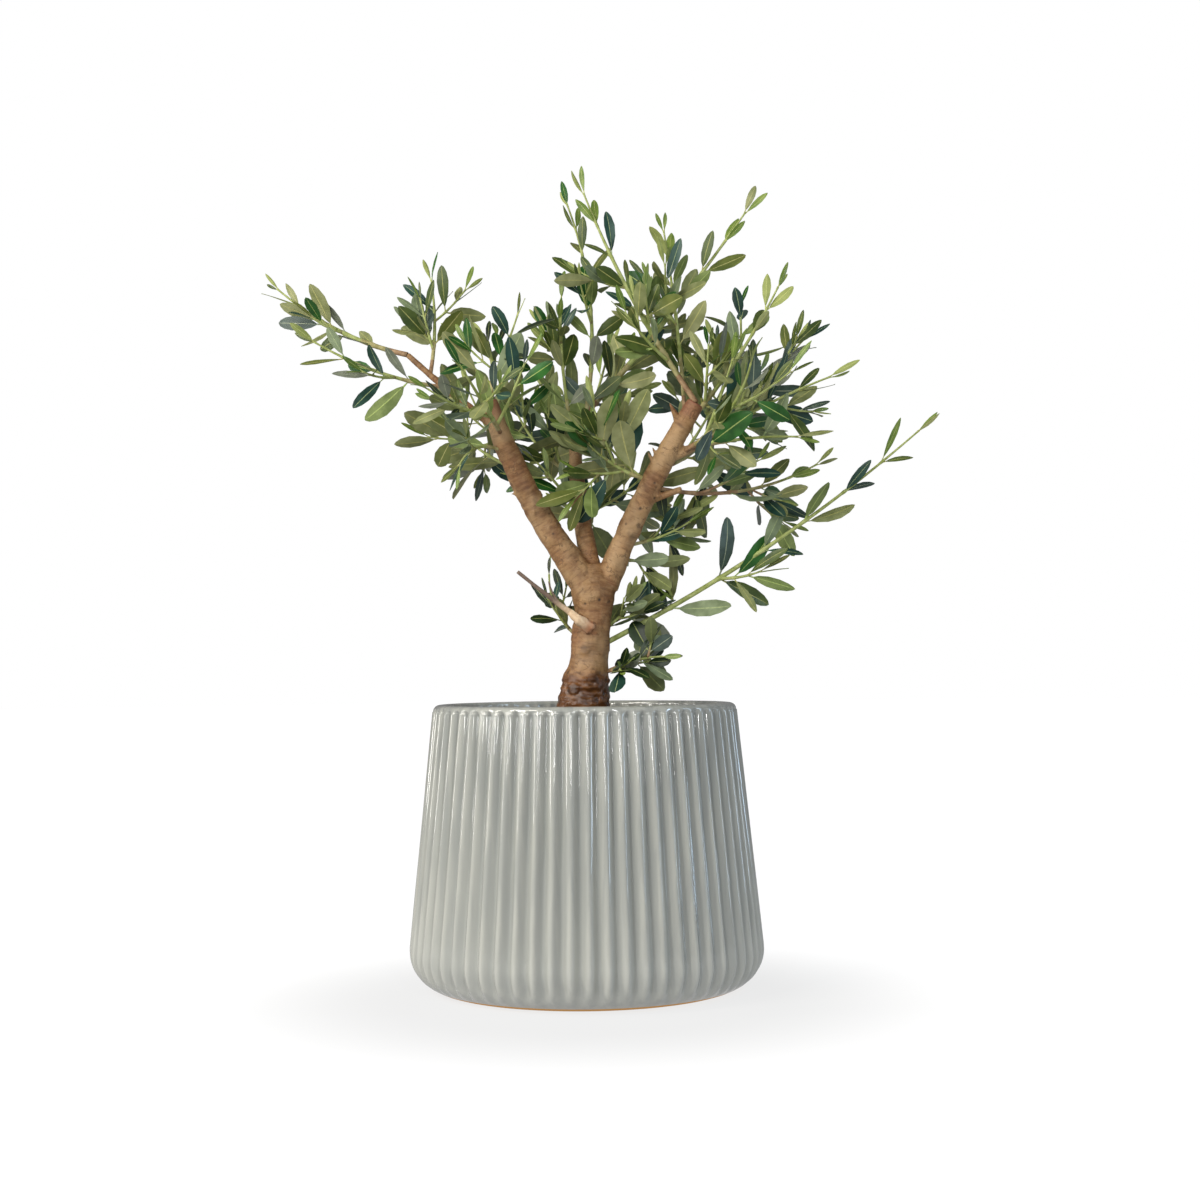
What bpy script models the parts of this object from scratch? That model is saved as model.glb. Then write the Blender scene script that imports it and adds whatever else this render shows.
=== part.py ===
"""An olive bonsai in a fluted, glazed round planter.

Units are metres and +Z is up. The origin is the centre of the planter's flat underside.
X runs across the crown, and +Y runs to its back.

The planter and its soil are turned shapes. The trunk stands on the soil and forks into
three boughs. Limbs are tapering tubes on smooth curves, each cut GAP clear of the limb
that carries it. Every mass of foliage grows from one stem by one seeded rule: side twigs
spiral up the stem, and leaves stand in crossed pairs on stem and twigs alike. A twig or a
leaf that would touch a limb or another mass, or leave its own mass's space, is skipped.
"""

import math
import random
from collections import namedtuple

import bmesh
import bpy
from mathutils import Quaternion, Vector
from mathutils.bvhtree import BVHTree
from mathutils.kdtree import KDTree

GAP = 0.0003

# Planter: a straight, slightly flared wall under a plain rim, with a round lower corner.
POT_HEIGHT = 0.2390
POT_RIM_RADIUS = 0.1289
POT_FOOT_RADIUS = 0.1170
POT_CORNER = 0.0330
POT_WALL = 0.0105
POT_FLOOR = 0.012
RIM_ROUND = 0.0060
LIP_ROUND = 0.0030
FLUTES = 62
FLUTE_TURN = math.radians(1.3)
FLUTE_DEPTH = 0.0024
FLUTE_TOP = 0.0125
FLUTE_FADE = 0.0060
CORNER_STEPS = 4
SOIL_DROP = 0.022
SOIL_SIDES = 48

# Limbs: a root, a tip, how far the curve's middle stands off the straight line, and radii.
TRUNK_SIDES = 16
BOUGH_SIDES = 10
BRANCH_SIDES = 8
LIMB_STEP = 0.017
ROOT_LOBES = 5
ROOT_LOBE = 0.13
ROOT_LOBE_HEIGHT = 0.014

# Foliage
TWIG_SIDES = 3
TWIG_STEP = 0.042
TWIG_FLAT_FACTOR = 1.45
TWIG_TIP_RADIUS = 0.0007
TWIG_LEAN = math.radians(46)
TWIG_JITTER = math.radians(12)
TWIG_RISE = 0.16
TWIGS_FROM, TWIGS_TO = 0.12, 0.66
BARE_STEM = 0.20
LEAF_SPACING = 0.70
LEAF_WIDE = 0.42
LEAF_NARROW = 0.30
LEAF_WIDEST = 0.46
LEAF_BLUNT = 0.34
LEAF_THICKNESS = 0.0012
LEAF_OPEN_LOW = math.radians(54)
LEAF_OPEN_HIGH = math.radians(22)
LEAF_TWIST = math.radians(30)
LEAF_DROOP = 0.05
LIGHT_TURN = 0.10
GOLDEN_ANGLE = math.radians(137.5)
LIMB_CLEARANCE = 0.0012
OWN_SPACE = 0.85

Limb = namedtuple("Limb", "carrier at off tip bow radii sides")
Mass = namedtuple("Mass", "limb at tip bow radius twigs reach leaf")
Leaf = namedtuple("Leaf", "root along face length width")

TRUNK_FOOT = Vector((-0.0053, 0.0, POT_HEIGHT - SOIL_DROP + GAP))
TRUNK_TOP = Vector((0.0093, 0.0, 0.3580))
TRUNK_BOW = Vector((0.0033, 0.0, 0.0))
TRUNK_RADII = (0.0240, 0.0205, 0.0184, 0.0166, 0.0158, 0.0160, 0.0196, 0.0130)

# Each limb: its carrier, the place on it and the root's offset from there, then the tip,
# the bow, the radii from root to tip, and the number of sides.
LIMBS = {
    "bough_left": Limb(
        "trunk", 0.86, (-0.004, 0.000, 0.000), (-0.0786, -0.0200, 0.4958), (-0.0068, 0.004, -0.0045),
        (0.0140, 0.0110, 0.0100, 0.0095, 0.0070), BOUGH_SIDES,
    ),
    "bough_right": Limb(
        "trunk", 0.86, (0.0095, 0.000, 0.000), (0.0965, -0.0250, 0.4920), (-0.0035, 0.003, 0.0015),
        (0.0118, 0.0098, 0.0098, 0.0092, 0.0074), BOUGH_SIDES,
    ),
    "bough_back": Limb(
        "trunk", 0.92, (0.000, 0.004, 0.000), (-0.0067, 0.0500, 0.4843), (-0.0044, -0.004, -0.002),
        (0.0088, 0.0072, 0.0048), BOUGH_SIDES,
    ),
    "branch_left": Limb(
        "bough_left", 0.86, (0.000, 0.000, 0.000), (-0.1482, -0.0100, 0.5375), (-0.0010, -0.001, -0.001),
        (0.0038, 0.0031, 0.0024), BRANCH_SIDES,
    ),
    "branch_right": Limb(
        "bough_right", 0.70, (0.000, 0.000, 0.000), (0.1027, -0.0150, 0.4610), (0.0010, -0.001, -0.002),
        (0.0060, 0.0042, 0.0030), BRANCH_SIDES,
    ),
    "stub_right": Limb(
        "bough_right", 0.45, (0.000, 0.000, 0.000), (0.0842, -0.0120, 0.4201), (0.0, 0.0, 0.0),
        (0.0040, 0.0032, 0.0026), BRANCH_SIDES,
    ),
    "dead_twig": Limb(
        "trunk", 0.61, (0.000, -0.010, 0.000), (-0.0550, -0.0300, 0.3504), (0.0, -0.002, -0.001),
        (0.0034, 0.0020, 0.0014), BRANCH_SIDES,
    ),
}

# Each mass: the limb and the place on it that carry the stem, the stem's tip and bow, its
# radius at the root, and its number of side twigs, their reach and the length of a leaf.
MASSES = {
    "left_reach": Mass(
        "branch_left", 1.0, (-0.2638, 0.02, 0.6009), (-0.002, 0.0, -0.008), 0.0019, 1, 0.034, 0.038
    ),
    "left_arm": Mass(
        "branch_left", 0.58, (-0.2242, -0.034, 0.5452), (0.0, -0.004, -0.007), 0.0015, 1, 0.04, 0.038
    ),
    "left_rise": Mass(
        "branch_left", 0.74, (-0.1296, 0.014, 0.6065), (0.003, 0.004, 0.0), 0.0015, 2, 0.042, 0.038
    ),
    "left_inner": Mass(
        "bough_left", 1.0, (-0.0801, -0.004, 0.5469), (0.004, -0.002, 0.0), 0.0018, 3, 0.05, 0.042
    ),
    "left_low": Mass(
        "bough_left", 0.93, (-0.1246, -0.034, 0.4952), (-0.002, -0.008, -0.003), 0.0014, 1, 0.04, 0.032
    ),
    "left_hang": Mass(
        "bough_left", 0.74, (-0.1021, -0.04, 0.4399), (-0.004, -0.004, 0.01), 0.0013, 2, 0.038, 0.036
    ),
    "mid_left": Mass(
        "bough_back", 0.66, (-0.0596, 0.052, 0.4988), (-0.004, 0.004, -0.006), 0.0015, 2, 0.05, 0.038
    ),
    "mid_low": Mass(
        "bough_back", 0.4, (-0.0391, 0.016, 0.4465), (-0.003, 0.002, 0.006), 0.0013, 1, 0.04, 0.038
    ),
    "top_left": Mass(
        "bough_back", 0.76, (-0.0118, 0.045, 0.6786), (0.018, -0.012, 0.002), 0.0017, 1, 0.04, 0.036
    ),
    "top_low": Mass(
        "bough_back", 0.88, (-0.0172, 0.02, 0.5904), (-0.004, -0.008, -0.004), 0.0014, 2, 0.04, 0.036
    ),
    "top_main": Mass(
        "bough_back", 1.0, (0.1442, 0.022, 0.665), (-0.001, -0.002, -0.009), 0.0024, 3, 0.056, 0.042
    ),
    "right_top": Mass(
        "bough_right", 1.0, (0.0032, 0.0, 0.6773), (-0.005, 0.004, -0.002), 0.0021, 3, 0.05, 0.038
    ),
    "right_rise": Mass(
        "bough_right", 0.9, (0.073, 0.036, 0.6527), (0.003, 0.014, 0.0), 0.0016, 2, 0.044, 0.038
    ),
    "right_up": Mass(
        "bough_right", 0.8, (0.1675, -0.02, 0.5905), (0.004, -0.01, -0.004), 0.0018, 3, 0.048, 0.036
    ),
    "right_side": Mass(
        "branch_right", 1.0, (0.1891, -0.016, 0.5462), (0.0, 0.0, -0.002), 0.0018, 3, 0.046, 0.038
    ),
    "right_out": Mass(
        "branch_right", 0.78, (0.2077, -0.044, 0.5099), (-0.002, -0.01, 0.002), 0.0015, 2, 0.042, 0.04
    ),
    "right_hang": Mass(
        "branch_right", 0.62, (0.1782, -0.06, 0.4581), (0.0, -0.012, 0.002), 0.0014, 1, 0.04, 0.044
    ),
    "right_mid": Mass(
        "bough_right", 0.54, (0.205, 0.032, 0.4451), (0.003, 0.014, -0.013), 0.0017, 2, 0.05, 0.042
    ),
    "right_low": Mass(
        "trunk", 0.47, (0.2853, -0.02, 0.4672), (0.01, 0.024, -0.006), 0.002, 3, 0.044, 0.048
    ),
    "low_fan": Mass(
        "trunk", 0.56, (0.0418, 0.01, 0.3286), (0.004, 0.004, -0.002), 0.0014, 2, 0.036, 0.036
    ),
    "low_right": Mass(
        "trunk", 0.28, (0.0663, -0.01, 0.2783), (0.002, -0.002, 0.005), 0.0014, 2, 0.03, 0.03
    ),
    "low_left": Mass(
        "trunk", 0.5, (-0.03, 0.022, 0.3503), (-0.009, 0.004, -0.004), 0.0013, 2, 0.03, 0.03
    ),
    "mid_right": Mass(
        "bough_right", 0.58, (-0.0058, -0.014, 0.468), (0.004, -0.002, -0.01), 0.0016, 3, 0.046, 0.048
    ),
    "right_under": Mass(
        "bough_right", 0.22, (0.0936, 0.024, 0.4042), (0.002, 0.006, -0.006), 0.0014, 2, 0.036, 0.04
    ),
    "hang_right": Mass(
        "bough_right", 0.12, (0.067, 0.02, 0.3474), (0.0, 0.003, 0.008), 0.0013, 2, 0.034, 0.038
    ),
    "back_left": Mass(
        "bough_left", 0.64, (-0.1073, 0.145, 0.5297), (0.004, 0.008, -0.014), 0.0021, 3, 0.076, 0.05
    ),
    "back_mid": Mass(
        "bough_back", 0.72, (0.0252, 0.19, 0.5736), (-0.004, 0.016, -0.012), 0.0021, 3, 0.078, 0.05
    ),
    "back_right": Mass(
        "bough_right", 0.64, (0.1499, 0.15, 0.5372), (0.003, 0.012, -0.014), 0.0021, 3, 0.076, 0.05
    ),
    "back_low": Mass(
        "bough_back", 0.28, (0.0141, 0.15, 0.4604), (0.002, 0.01, -0.008), 0.0018, 2, 0.062, 0.048
    ),
    "front_left": Mass(
        "bough_left", 0.84, (-0.0935, -0.135, 0.5065), (0.004, -0.006, -0.006), 0.0018, 3, 0.06, 0.044
    ),
    "front_right": Mass(
        "branch_right", 0.46, (0.1347, -0.13, 0.5083), (0.008, -0.006, -0.006), 0.0018, 3, 0.06, 0.044
    ),
}

# sRGB colour, roughness and metallic value of each sub-part.
GLAZE = ("#B2B5AB", 0.16, 0.0)
SOIL = ("#3A2C22", 0.95, 0.0)
BARK = ("#A98A6C", 0.85, 0.0)
DEAD_WOOD = ("#8E7A68", 0.90, 0.0)
OLIVE_LEAF = ("#5C6E3F", 0.45, 0.0)


def material(name, colour, roughness, metallic):
    """A Principled material whose hex colour is turned from sRGB to linear."""
    found = bpy.data.materials.new(name)
    found.use_nodes = True
    shader = found.node_tree.nodes["Principled BSDF"]
    channels = [int(colour[place : place + 2], 16) / 255 for place in (1, 3, 5)]
    linear = [c / 12.92 if c <= 0.04045 else ((c + 0.055) / 1.055) ** 2.4 for c in channels]
    shader.inputs["Base Color"].default_value = (*linear, 1.0)
    shader.inputs["Roughness"].default_value = roughness
    shader.inputs["Metallic"].default_value = metallic
    return found


def add_object(name, bm, finish=None):
    """Puts the mesh in the scene as an object, shaded smooth between its sharp edges."""
    mesh = bpy.data.meshes.new(name)
    bm.to_mesh(mesh)
    bm.free()
    obj = bpy.data.objects.new(name, mesh)
    bpy.context.scene.collection.objects.link(obj)
    if finish:
        mesh.materials.append(finish)
        mesh.shade_smooth()
        mesh.set_sharp_from_angle(angle=math.radians(35))
    return obj


def loft(bm, rings):
    """A closed body through rings, the first and the last of them capped. A ring has as
    many points as the ring before it, or half as many."""
    loops = [[bm.verts.new(point) for point in ring] for ring in rings]
    for low, high in zip(loops, loops[1:]):
        ratio = len(low) // len(high)
        for place, corner in enumerate(high):
            after = high[(place + 1) % len(high)]
            near = [low[(place * ratio + step) % len(low)] for step in range(ratio + 1)]
            for first, second in zip(near, near[1:-1]):
                bm.faces.new((first, second, corner))
            bm.faces.new((near[-2], near[-1], after, corner))
    bm.faces.new(reversed(loops[0]))
    bm.faces.new(loops[-1])
    return bm


class Path:
    """A smooth curve from root to tip, whose middle stands off the straight line by bow."""

    def __init__(self, root, tip, bow, radii):
        self.root = Vector(root)
        self.tip = Vector(tip)
        self.control = (self.root + self.tip) / 2 + 2 * Vector(bow)
        self.radii = radii
        self.length = sum(
            (self.point(step / 8) - self.point((step + 1) / 8)).length for step in range(8)
        )

    def point(self, t):
        return self.root.lerp(self.control, t).lerp(self.control.lerp(self.tip, t), t)

    def tangent(self, t):
        return ((self.control - self.root).lerp(self.tip - self.control, t)).normalized()

    def radius(self, t):
        place = min(max(t, 0.0), 1.0) * (len(self.radii) - 1)
        low = min(int(place), len(self.radii) - 2)
        return self.radii[low] + (self.radii[low + 1] - self.radii[low]) * (place - low)

    def across(self, t, angle):
        """The direction that leaves the curve square to it, at this angle round it."""
        tangent = self.tangent(t)
        start = Vector((1, 0, 0)) if abs(tangent.x) < 0.8 else Vector((0, 1, 0))
        side = tangent.cross(start).normalized()
        return math.cos(angle) * side + math.sin(angle) * tangent.cross(side)


def tube(bm, path, sides, step, grow=0.0, shape=None):
    """A closed tube along the path. grow widens it and carries both its ends further."""
    steps = max(2, round(path.length / step))
    side = path.across(0.0, 0.0)
    rings = []
    for index in range(steps + 1):
        t = index / steps
        tangent = path.tangent(t)
        side = (side - tangent * side.dot(tangent)).normalized()
        other = tangent.cross(side)
        centre = path.point(t)
        centre += tangent * grow * ((index == steps) - (index == 0))
        ring = []
        for corner in range(sides):
            angle = 2 * math.pi * corner / sides
            out = math.cos(angle) * side + math.sin(angle) * other
            radius = path.radius(t) + grow / math.cos(math.pi / sides)
            spot = centre + out * radius
            ring.append(shape(spot, centre, t) if shape else spot)
        rings.append(ring)
    return loft(bm, rings)


# ----------------------------------------------------------------------- planter and soil


def flute_strength(z):
    """How deep the flutes are at this height: none on the rim and on the underside."""
    from_top = (POT_HEIGHT - FLUTE_TOP + FLUTE_FADE - z) / FLUTE_FADE
    from_foot = (z - POT_CORNER * 0.10) / (POT_CORNER * 0.45)
    return min(max(min(from_top, from_foot), 0.0), 1.0)


def taper_angle():
    """The wall's lean from upright, tangent to the corner's circle and through the rim."""
    run = POT_FOOT_RADIUS - POT_RIM_RADIUS
    rise = POT_HEIGHT - POT_CORNER
    reach = math.hypot(run, rise)
    return math.asin(POT_CORNER / reach) + math.asin(run / reach)


def pot_radius(z):
    """The outer radius at the crest of a flute, above the round corner."""
    return POT_RIM_RADIUS + (POT_HEIGHT - z) * math.tan(taper_angle())


def pot_profile():
    """Radius and height down the outside and up the inside, from the underside's edge."""
    lean = taper_angle()
    outside = []
    for step in range(CORNER_STEPS + 1):
        angle = -math.pi / 2 + (math.pi / 2 + lean) * step / CORNER_STEPS
        radius = POT_FOOT_RADIUS + POT_CORNER * math.cos(angle)
        outside.append((radius, POT_CORNER + POT_CORNER * math.sin(angle)))
    for z in (POT_HEIGHT - FLUTE_TOP, POT_HEIGHT - FLUTE_TOP + FLUTE_FADE):
        outside.append((pot_radius(z), z))
    for angle in (math.radians(45), math.radians(90)):
        radius = POT_RIM_RADIUS - RIM_ROUND * (1 - math.cos(angle))
        outside.append((radius, POT_HEIGHT - RIM_ROUND * (1 - math.sin(angle))))
    inside = [
        (POT_RIM_RADIUS - POT_WALL + LIP_ROUND, POT_HEIGHT),
        (pot_radius(POT_HEIGHT) - POT_WALL, POT_HEIGHT - LIP_ROUND),
        (pot_radius(POT_CORNER) - POT_WALL, POT_CORNER + POT_FLOOR),
        (POT_FOOT_RADIUS - POT_WALL, POT_FLOOR),
    ]
    return outside, inside


def circle(radius, z, count, dip=0.0):
    """Points round the axis, every second one dipped inwards."""
    turn = 2 * math.pi / count
    ring = []
    for index in range(count):
        angle = turn * index - math.pi / 2 + FLUTE_TURN
        reach = radius - dip * (index % 2)
        ring.append(Vector((reach * math.cos(angle), reach * math.sin(angle), z)))
    return ring


def make_planter():
    outside, inside = pot_profile()
    rings = [circle(r, z, 2 * FLUTES, FLUTE_DEPTH * flute_strength(z)) for r, z in outside]
    rings += [circle(r, z, FLUTES) for r, z in inside]
    return add_object("planter", loft(bmesh.new(), rings), material("glazed_stoneware", *GLAZE))


def make_soil():
    """The potting soil fills the planter to SOIL_DROP under its rim, GAP clear of its wall."""
    top = POT_HEIGHT - SOIL_DROP
    middle = POT_CORNER + POT_FLOOR
    rings = [
        circle(POT_FOOT_RADIUS - POT_WALL - GAP, POT_FLOOR + GAP, SOIL_SIDES),
        circle(pot_radius(POT_CORNER) - POT_WALL - 2 * GAP, middle, SOIL_SIDES),
        circle(pot_radius(top) - POT_WALL - 2 * GAP, top, SOIL_SIDES),
    ]
    return add_object("soil", loft(bmesh.new(), rings), material("potting_soil", *SOIL))


# ---------------------------------------------------------------------------------- limbs


def limb_paths():
    """The curve of the trunk and of each limb, with every root on its carrier's curve."""
    paths = {"trunk": Path(TRUNK_FOOT, TRUNK_TOP, TRUNK_BOW, TRUNK_RADII)}
    for name, limb in LIMBS.items():
        root = paths[limb.carrier].point(limb.at) + Vector(limb.off)
        paths[name] = Path(root, limb.tip, limb.bow, limb.radii)
    return paths


def root_flare(spot, centre, t):
    """Sets the trunk's first ring level, and spreads its foot into low root lobes."""
    out = spot - centre
    angle = math.atan2(out.y, out.x)
    height = max(centre.z - TRUNK_FOOT.z, 0.0)
    lobe = ROOT_LOBE * math.exp(-height / ROOT_LOBE_HEIGHT) * math.cos(ROOT_LOBES * angle)
    found = centre + out * (1 + lobe)
    if t == 0.0:
        found.z = centre.z
    return found


def limb_mesh(name, path, grow=0.0):
    if name == "trunk":
        return tube(bmesh.new(), path, TRUNK_SIDES, LIMB_STEP, grow, root_flare)
    return tube(bmesh.new(), path, LIMBS[name].sides, LIMB_STEP, grow)


def cut_clear(obj, cutters, solver="EXACT"):
    """Cuts the object clear of every cutter, and keeps the largest body that is left."""
    tools = bpy.data.collections.new("tools")
    for cutter in cutters:
        tools.objects.link(cutter)
    cut = obj.modifiers.new("cut", "BOOLEAN")
    cut.operation = "DIFFERENCE"
    cut.operand_type = "COLLECTION"
    cut.collection = tools
    cut.solver = solver
    apply_modifiers(obj)
    bpy.data.collections.remove(tools)
    keep_largest(obj)


def apply_modifiers(obj):
    graph = bpy.context.evaluated_depsgraph_get()
    mesh = bpy.data.meshes.new_from_object(obj.evaluated_get(graph))
    obj.modifiers.clear()
    spare = obj.data
    obj.data = mesh
    bpy.data.meshes.remove(spare)
    mesh.name = obj.name


def keep_largest(obj):
    """Drops loose scraps and sealed hollows: only the body with the most volume stays."""
    bm = bmesh.new()
    bm.from_mesh(obj.data)
    bmesh.ops.triangulate(bm, faces=bm.faces)
    left = set(bm.faces)
    bodies = []
    while left:
        body = {left.pop()}
        front = list(body)
        while front:
            face = front.pop()
            near = {other for edge in face.edges for other in edge.link_faces} & left
            left -= near
            body |= near
            front += near
        volume = sum(
            f.verts[0].co.dot(f.verts[1].co.cross(f.verts[2].co)) for f in body
        )
        bodies.append((volume, body))
    bodies.sort(key=lambda pair: pair[0])
    spare = [face for volume, body in bodies[:-1] for face in body]
    bmesh.ops.delete(bm, geom=spare, context="FACES")
    bm.to_mesh(obj.data)
    bm.free()


def remove_objects(objects):
    for obj in objects:
        mesh = obj.data
        bpy.data.objects.remove(obj)
        bpy.data.meshes.remove(mesh)


def make_limbs(paths):
    """Each limb is cut GAP clear of every limb named before it."""
    bark = material("olive_bark", *BARK)
    dead = material("dead_wood", *DEAD_WOOD)
    cutters = []
    for name, path in paths.items():
        finish = dead if name == "dead_twig" else bark
        limb = add_object(name, limb_mesh(name, path), finish)
        if cutters:
            cut_clear(limb, cutters)
        cutters.append(add_object(name + "_clearance", limb_mesh(name, path, GAP)))
    return cutters


# -------------------------------------------------------------------------------- foliage


def leaf_corners(leaf):
    """The leaf's root, the keel under its middle, and its widest and its tip corners."""
    side = leaf.along.cross(leaf.face)
    half = leaf.length * leaf.width / 2
    tip = leaf.root + leaf.along * leaf.length - leaf.face * LEAF_DROOP * leaf.length
    middle = leaf.root + leaf.along * LEAF_WIDEST * leaf.length
    blunt = side * LEAF_BLUNT * half
    return (
        leaf.root,
        middle - leaf.face * LEAF_THICKNESS,
        middle + side * half,
        middle - side * half,
        tip + blunt,
        tip - blunt,
    )


LEAF_FACES = (
    (0, 3, 2), (2, 3, 5), (2, 5, 4), (0, 2, 1), (0, 1, 3), (1, 2, 4), (1, 4, 5), (1, 5, 3)
)


def leaf_mesh(leaf):
    bm = bmesh.new()
    corners = [bm.verts.new(corner) for corner in leaf_corners(leaf)]
    for face in LEAF_FACES:
        bm.faces.new([corners[index] for index in face])
    bmesh.ops.recalc_face_normals(bm, faces=bm.faces)
    return bm


def surface(meshes):
    """One search tree over the faces of these meshes, which are freed."""
    points = []
    faces = []
    for bm in meshes:
        start = len(points)
        bm.verts.index_update()
        points += [vertex.co.copy() for vertex in bm.verts]
        faces += [[start + vertex.index for vertex in face.verts] for face in bm.faces]
        bm.free()
    return BVHTree.FromPolygons(points, faces)


def nearest(points):
    """A search tree over points."""
    tree = KDTree(len(points))
    for index, point in enumerate(points):
        tree.insert(point, index)
    tree.balance()
    return tree


def twig_mesh(path, grow=0.0):
    return tube(bmesh.new(), path, TWIG_SIDES, TWIG_STEP, grow)


def stem_path(mass, limbs):
    root = limbs[mass.limb].point(mass.at)
    radii = (mass.radius * TWIG_FLAT_FACTOR, TWIG_TIP_RADIUS * TWIG_FLAT_FACTOR)
    return Path(root, mass.tip, mass.bow, radii)


class Space:
    """What the twigs and leaves of one mass keep clear of, and the space that is theirs."""

    def __init__(self, name, stems, limbs):
        self.own = nearest([stems[name].point(step / 20) for step in range(2, 21)])
        others = [other for other in stems if other != name]
        self.foreign = nearest(
            [stems[other].point(step / 20) for other in others for step in range(5, 21)]
        )
        self.limbs = surface([limb_mesh(limb, path, LIMB_CLEARANCE) for limb, path in limbs.items()])
        self.twigs = surface([twig_mesh(stems[other], LIMB_CLEARANCE) for other in others])

    def holds(self, point):
        return self.own.find(point)[2] * OWN_SPACE < self.foreign.find(point)[2]

    def free(self, bm, grown):
        """True where the mesh, which is freed, touches no limb, foreign stem or grown mass."""
        shape = surface([bm])
        return not any(shape.overlap(tree) for tree in [self.limbs, self.twigs, *grown])


def side_twigs(rng, mass, stem):
    """Twigs that spiral up the stem, shorter towards its tip, and turn up at their ends."""
    found = []
    turn = rng.uniform(0, 2 * math.pi)
    for index in range(mass.twigs):
        t = TWIGS_FROM + (TWIGS_TO - TWIGS_FROM) * (index + rng.uniform(0.25, 0.75)) / mass.twigs
        lean = TWIG_LEAN + rng.uniform(-TWIG_JITTER, TWIG_JITTER)
        out = stem.across(t, turn + index * GOLDEN_ANGLE)
        length = mass.reach * (1.15 - 0.55 * t) * rng.uniform(0.85, 1.15)
        root = stem.point(t)
        tip = root + (stem.tangent(t) * math.cos(lean) + out * math.sin(lean)) * length
        tip.z += TWIG_RISE * length
        thick = min(stem.radius(t) * 0.85, TWIG_TIP_RADIUS * 2.4)
        radii = (thick, TWIG_TIP_RADIUS * TWIG_FLAT_FACTOR)
        found.append(Path(root, tip, (0, 0, -0.05 * length), radii))
    return found


def leaves_on(rng, path, length, bare):
    """Crossed pairs of leaves, small and upright where the twig ends."""
    found = []
    pairs = max(2, round(path.length * (1 - bare) / (length * LEAF_SPACING)))
    turn = rng.uniform(0, 2 * math.pi)
    for index in range(pairs + 1):
        t = bare + (1 - bare) * (index + 0.4) / (pairs + 0.4)
        t = min(t, 0.995)
        turn += math.pi / 2 + rng.uniform(-0.35, 0.35)
        tangent = path.tangent(t)
        for half in (0, math.pi):
            lean = LEAF_OPEN_LOW + (LEAF_OPEN_HIGH - LEAF_OPEN_LOW) * t ** 2
            lean *= rng.uniform(0.8, 1.2)
            along = tangent * math.cos(lean) + path.across(t, turn + half) * math.sin(lean)
            along = along.normalized()
            face = tangent + Vector((0, 0, LIGHT_TURN))
            face = (face - along * face.dot(along)).normalized()
            face.rotate(Quaternion(along, rng.uniform(-LEAF_TWIST, LEAF_TWIST)))
            size = length * (1.05 - 0.45 * t ** 3) * rng.uniform(0.85, 1.12)
            width = LEAF_WIDE + (LEAF_NARROW - LEAF_WIDE) * t
            found.append(Leaf(path.point(t), along, face, size, width))
    return found


def grow_mass(name, mass, stem, space, grown):
    """The paths and the leaves of one mass that stay clear and within its own space."""
    rng = random.Random(name)
    paths = [stem]
    for twig in side_twigs(rng, mass, stem):
        beyond = Path(twig.point(0.12), twig.tip, (0, 0, 0), twig.radii)
        if space.holds(twig.tip) and space.free(twig_mesh(beyond), grown):
            paths.append(twig)
    leaves = []
    for path in paths:
        bare = BARE_STEM if path is stem else 0.15
        for leaf in leaves_on(rng, path, mass.leaf, bare):
            middle = leaf.root + leaf.along * leaf.length * 0.6
            if space.holds(middle) and space.free(leaf_mesh(leaf), grown):
                leaves.append(leaf)
    return paths, leaves


def join_mass(name, paths, leaves, finish, limb_cutters):
    """Fuses twigs and leaves into one body, and cuts its stem clear of the limbs."""
    stem = add_object("foliage_" + name, twig_mesh(paths[0]), finish)
    parts = bpy.data.collections.new("parts")
    for bm in [twig_mesh(path) for path in paths[1:]] + [leaf_mesh(leaf) for leaf in leaves]:
        part = add_object("part", bm)
        parts.objects.link(part)
    fuse = stem.modifiers.new("fuse", "BOOLEAN")
    fuse.operation = "UNION"
    fuse.operand_type = "COLLECTION"
    fuse.collection = parts
    fuse.solver = "MANIFOLD"
    apply_modifiers(stem)
    spare = list(parts.objects)
    bpy.data.collections.remove(parts)
    remove_objects(spare)
    cut_clear(stem, limb_cutters, "MANIFOLD")
    stem.data.shade_smooth()
    stem.data.set_sharp_from_angle(angle=math.radians(35))


def grow_foliage(limbs):
    """Every mass in turn, each clear of the stems of all and of the masses before it."""
    stems = {name: stem_path(mass, limbs) for name, mass in MASSES.items()}
    grown = []
    crown = {}
    for name, mass in MASSES.items():
        space = Space(name, stems, limbs)
        paths, leaves = grow_mass(name, mass, stems[name], space, grown)
        meshes = [twig_mesh(path, LIMB_CLEARANCE / 2) for path in paths]
        meshes += [leaf_mesh(leaf) for leaf in leaves]
        grown.append(surface(meshes))
        crown[name] = (paths, leaves)
    return crown


def main():
    for obj in list(bpy.data.objects):
        bpy.data.objects.remove(obj)
    make_planter()
    make_soil()
    limbs = limb_paths()
    cutters = make_limbs(limbs)
    finish = material("olive_leaf", *OLIVE_LEAF)
    for name, (paths, leaves) in grow_foliage(limbs).items():
        join_mass(name, paths, leaves, finish, cutters)
    remove_objects(cutters)


if __name__ == "__main__":
    main()
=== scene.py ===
"""The finished olive bonsai: every surface that shows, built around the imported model.

Units are metres, +Z is up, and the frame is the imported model's own.
"""

import math
import random
from collections import namedtuple

import bmesh
import bpy
from mathutils import Matrix, Quaternion, Vector, noise
from mathutils.bvhtree import BVHTree
from mathutils.kdtree import KDTree


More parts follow.
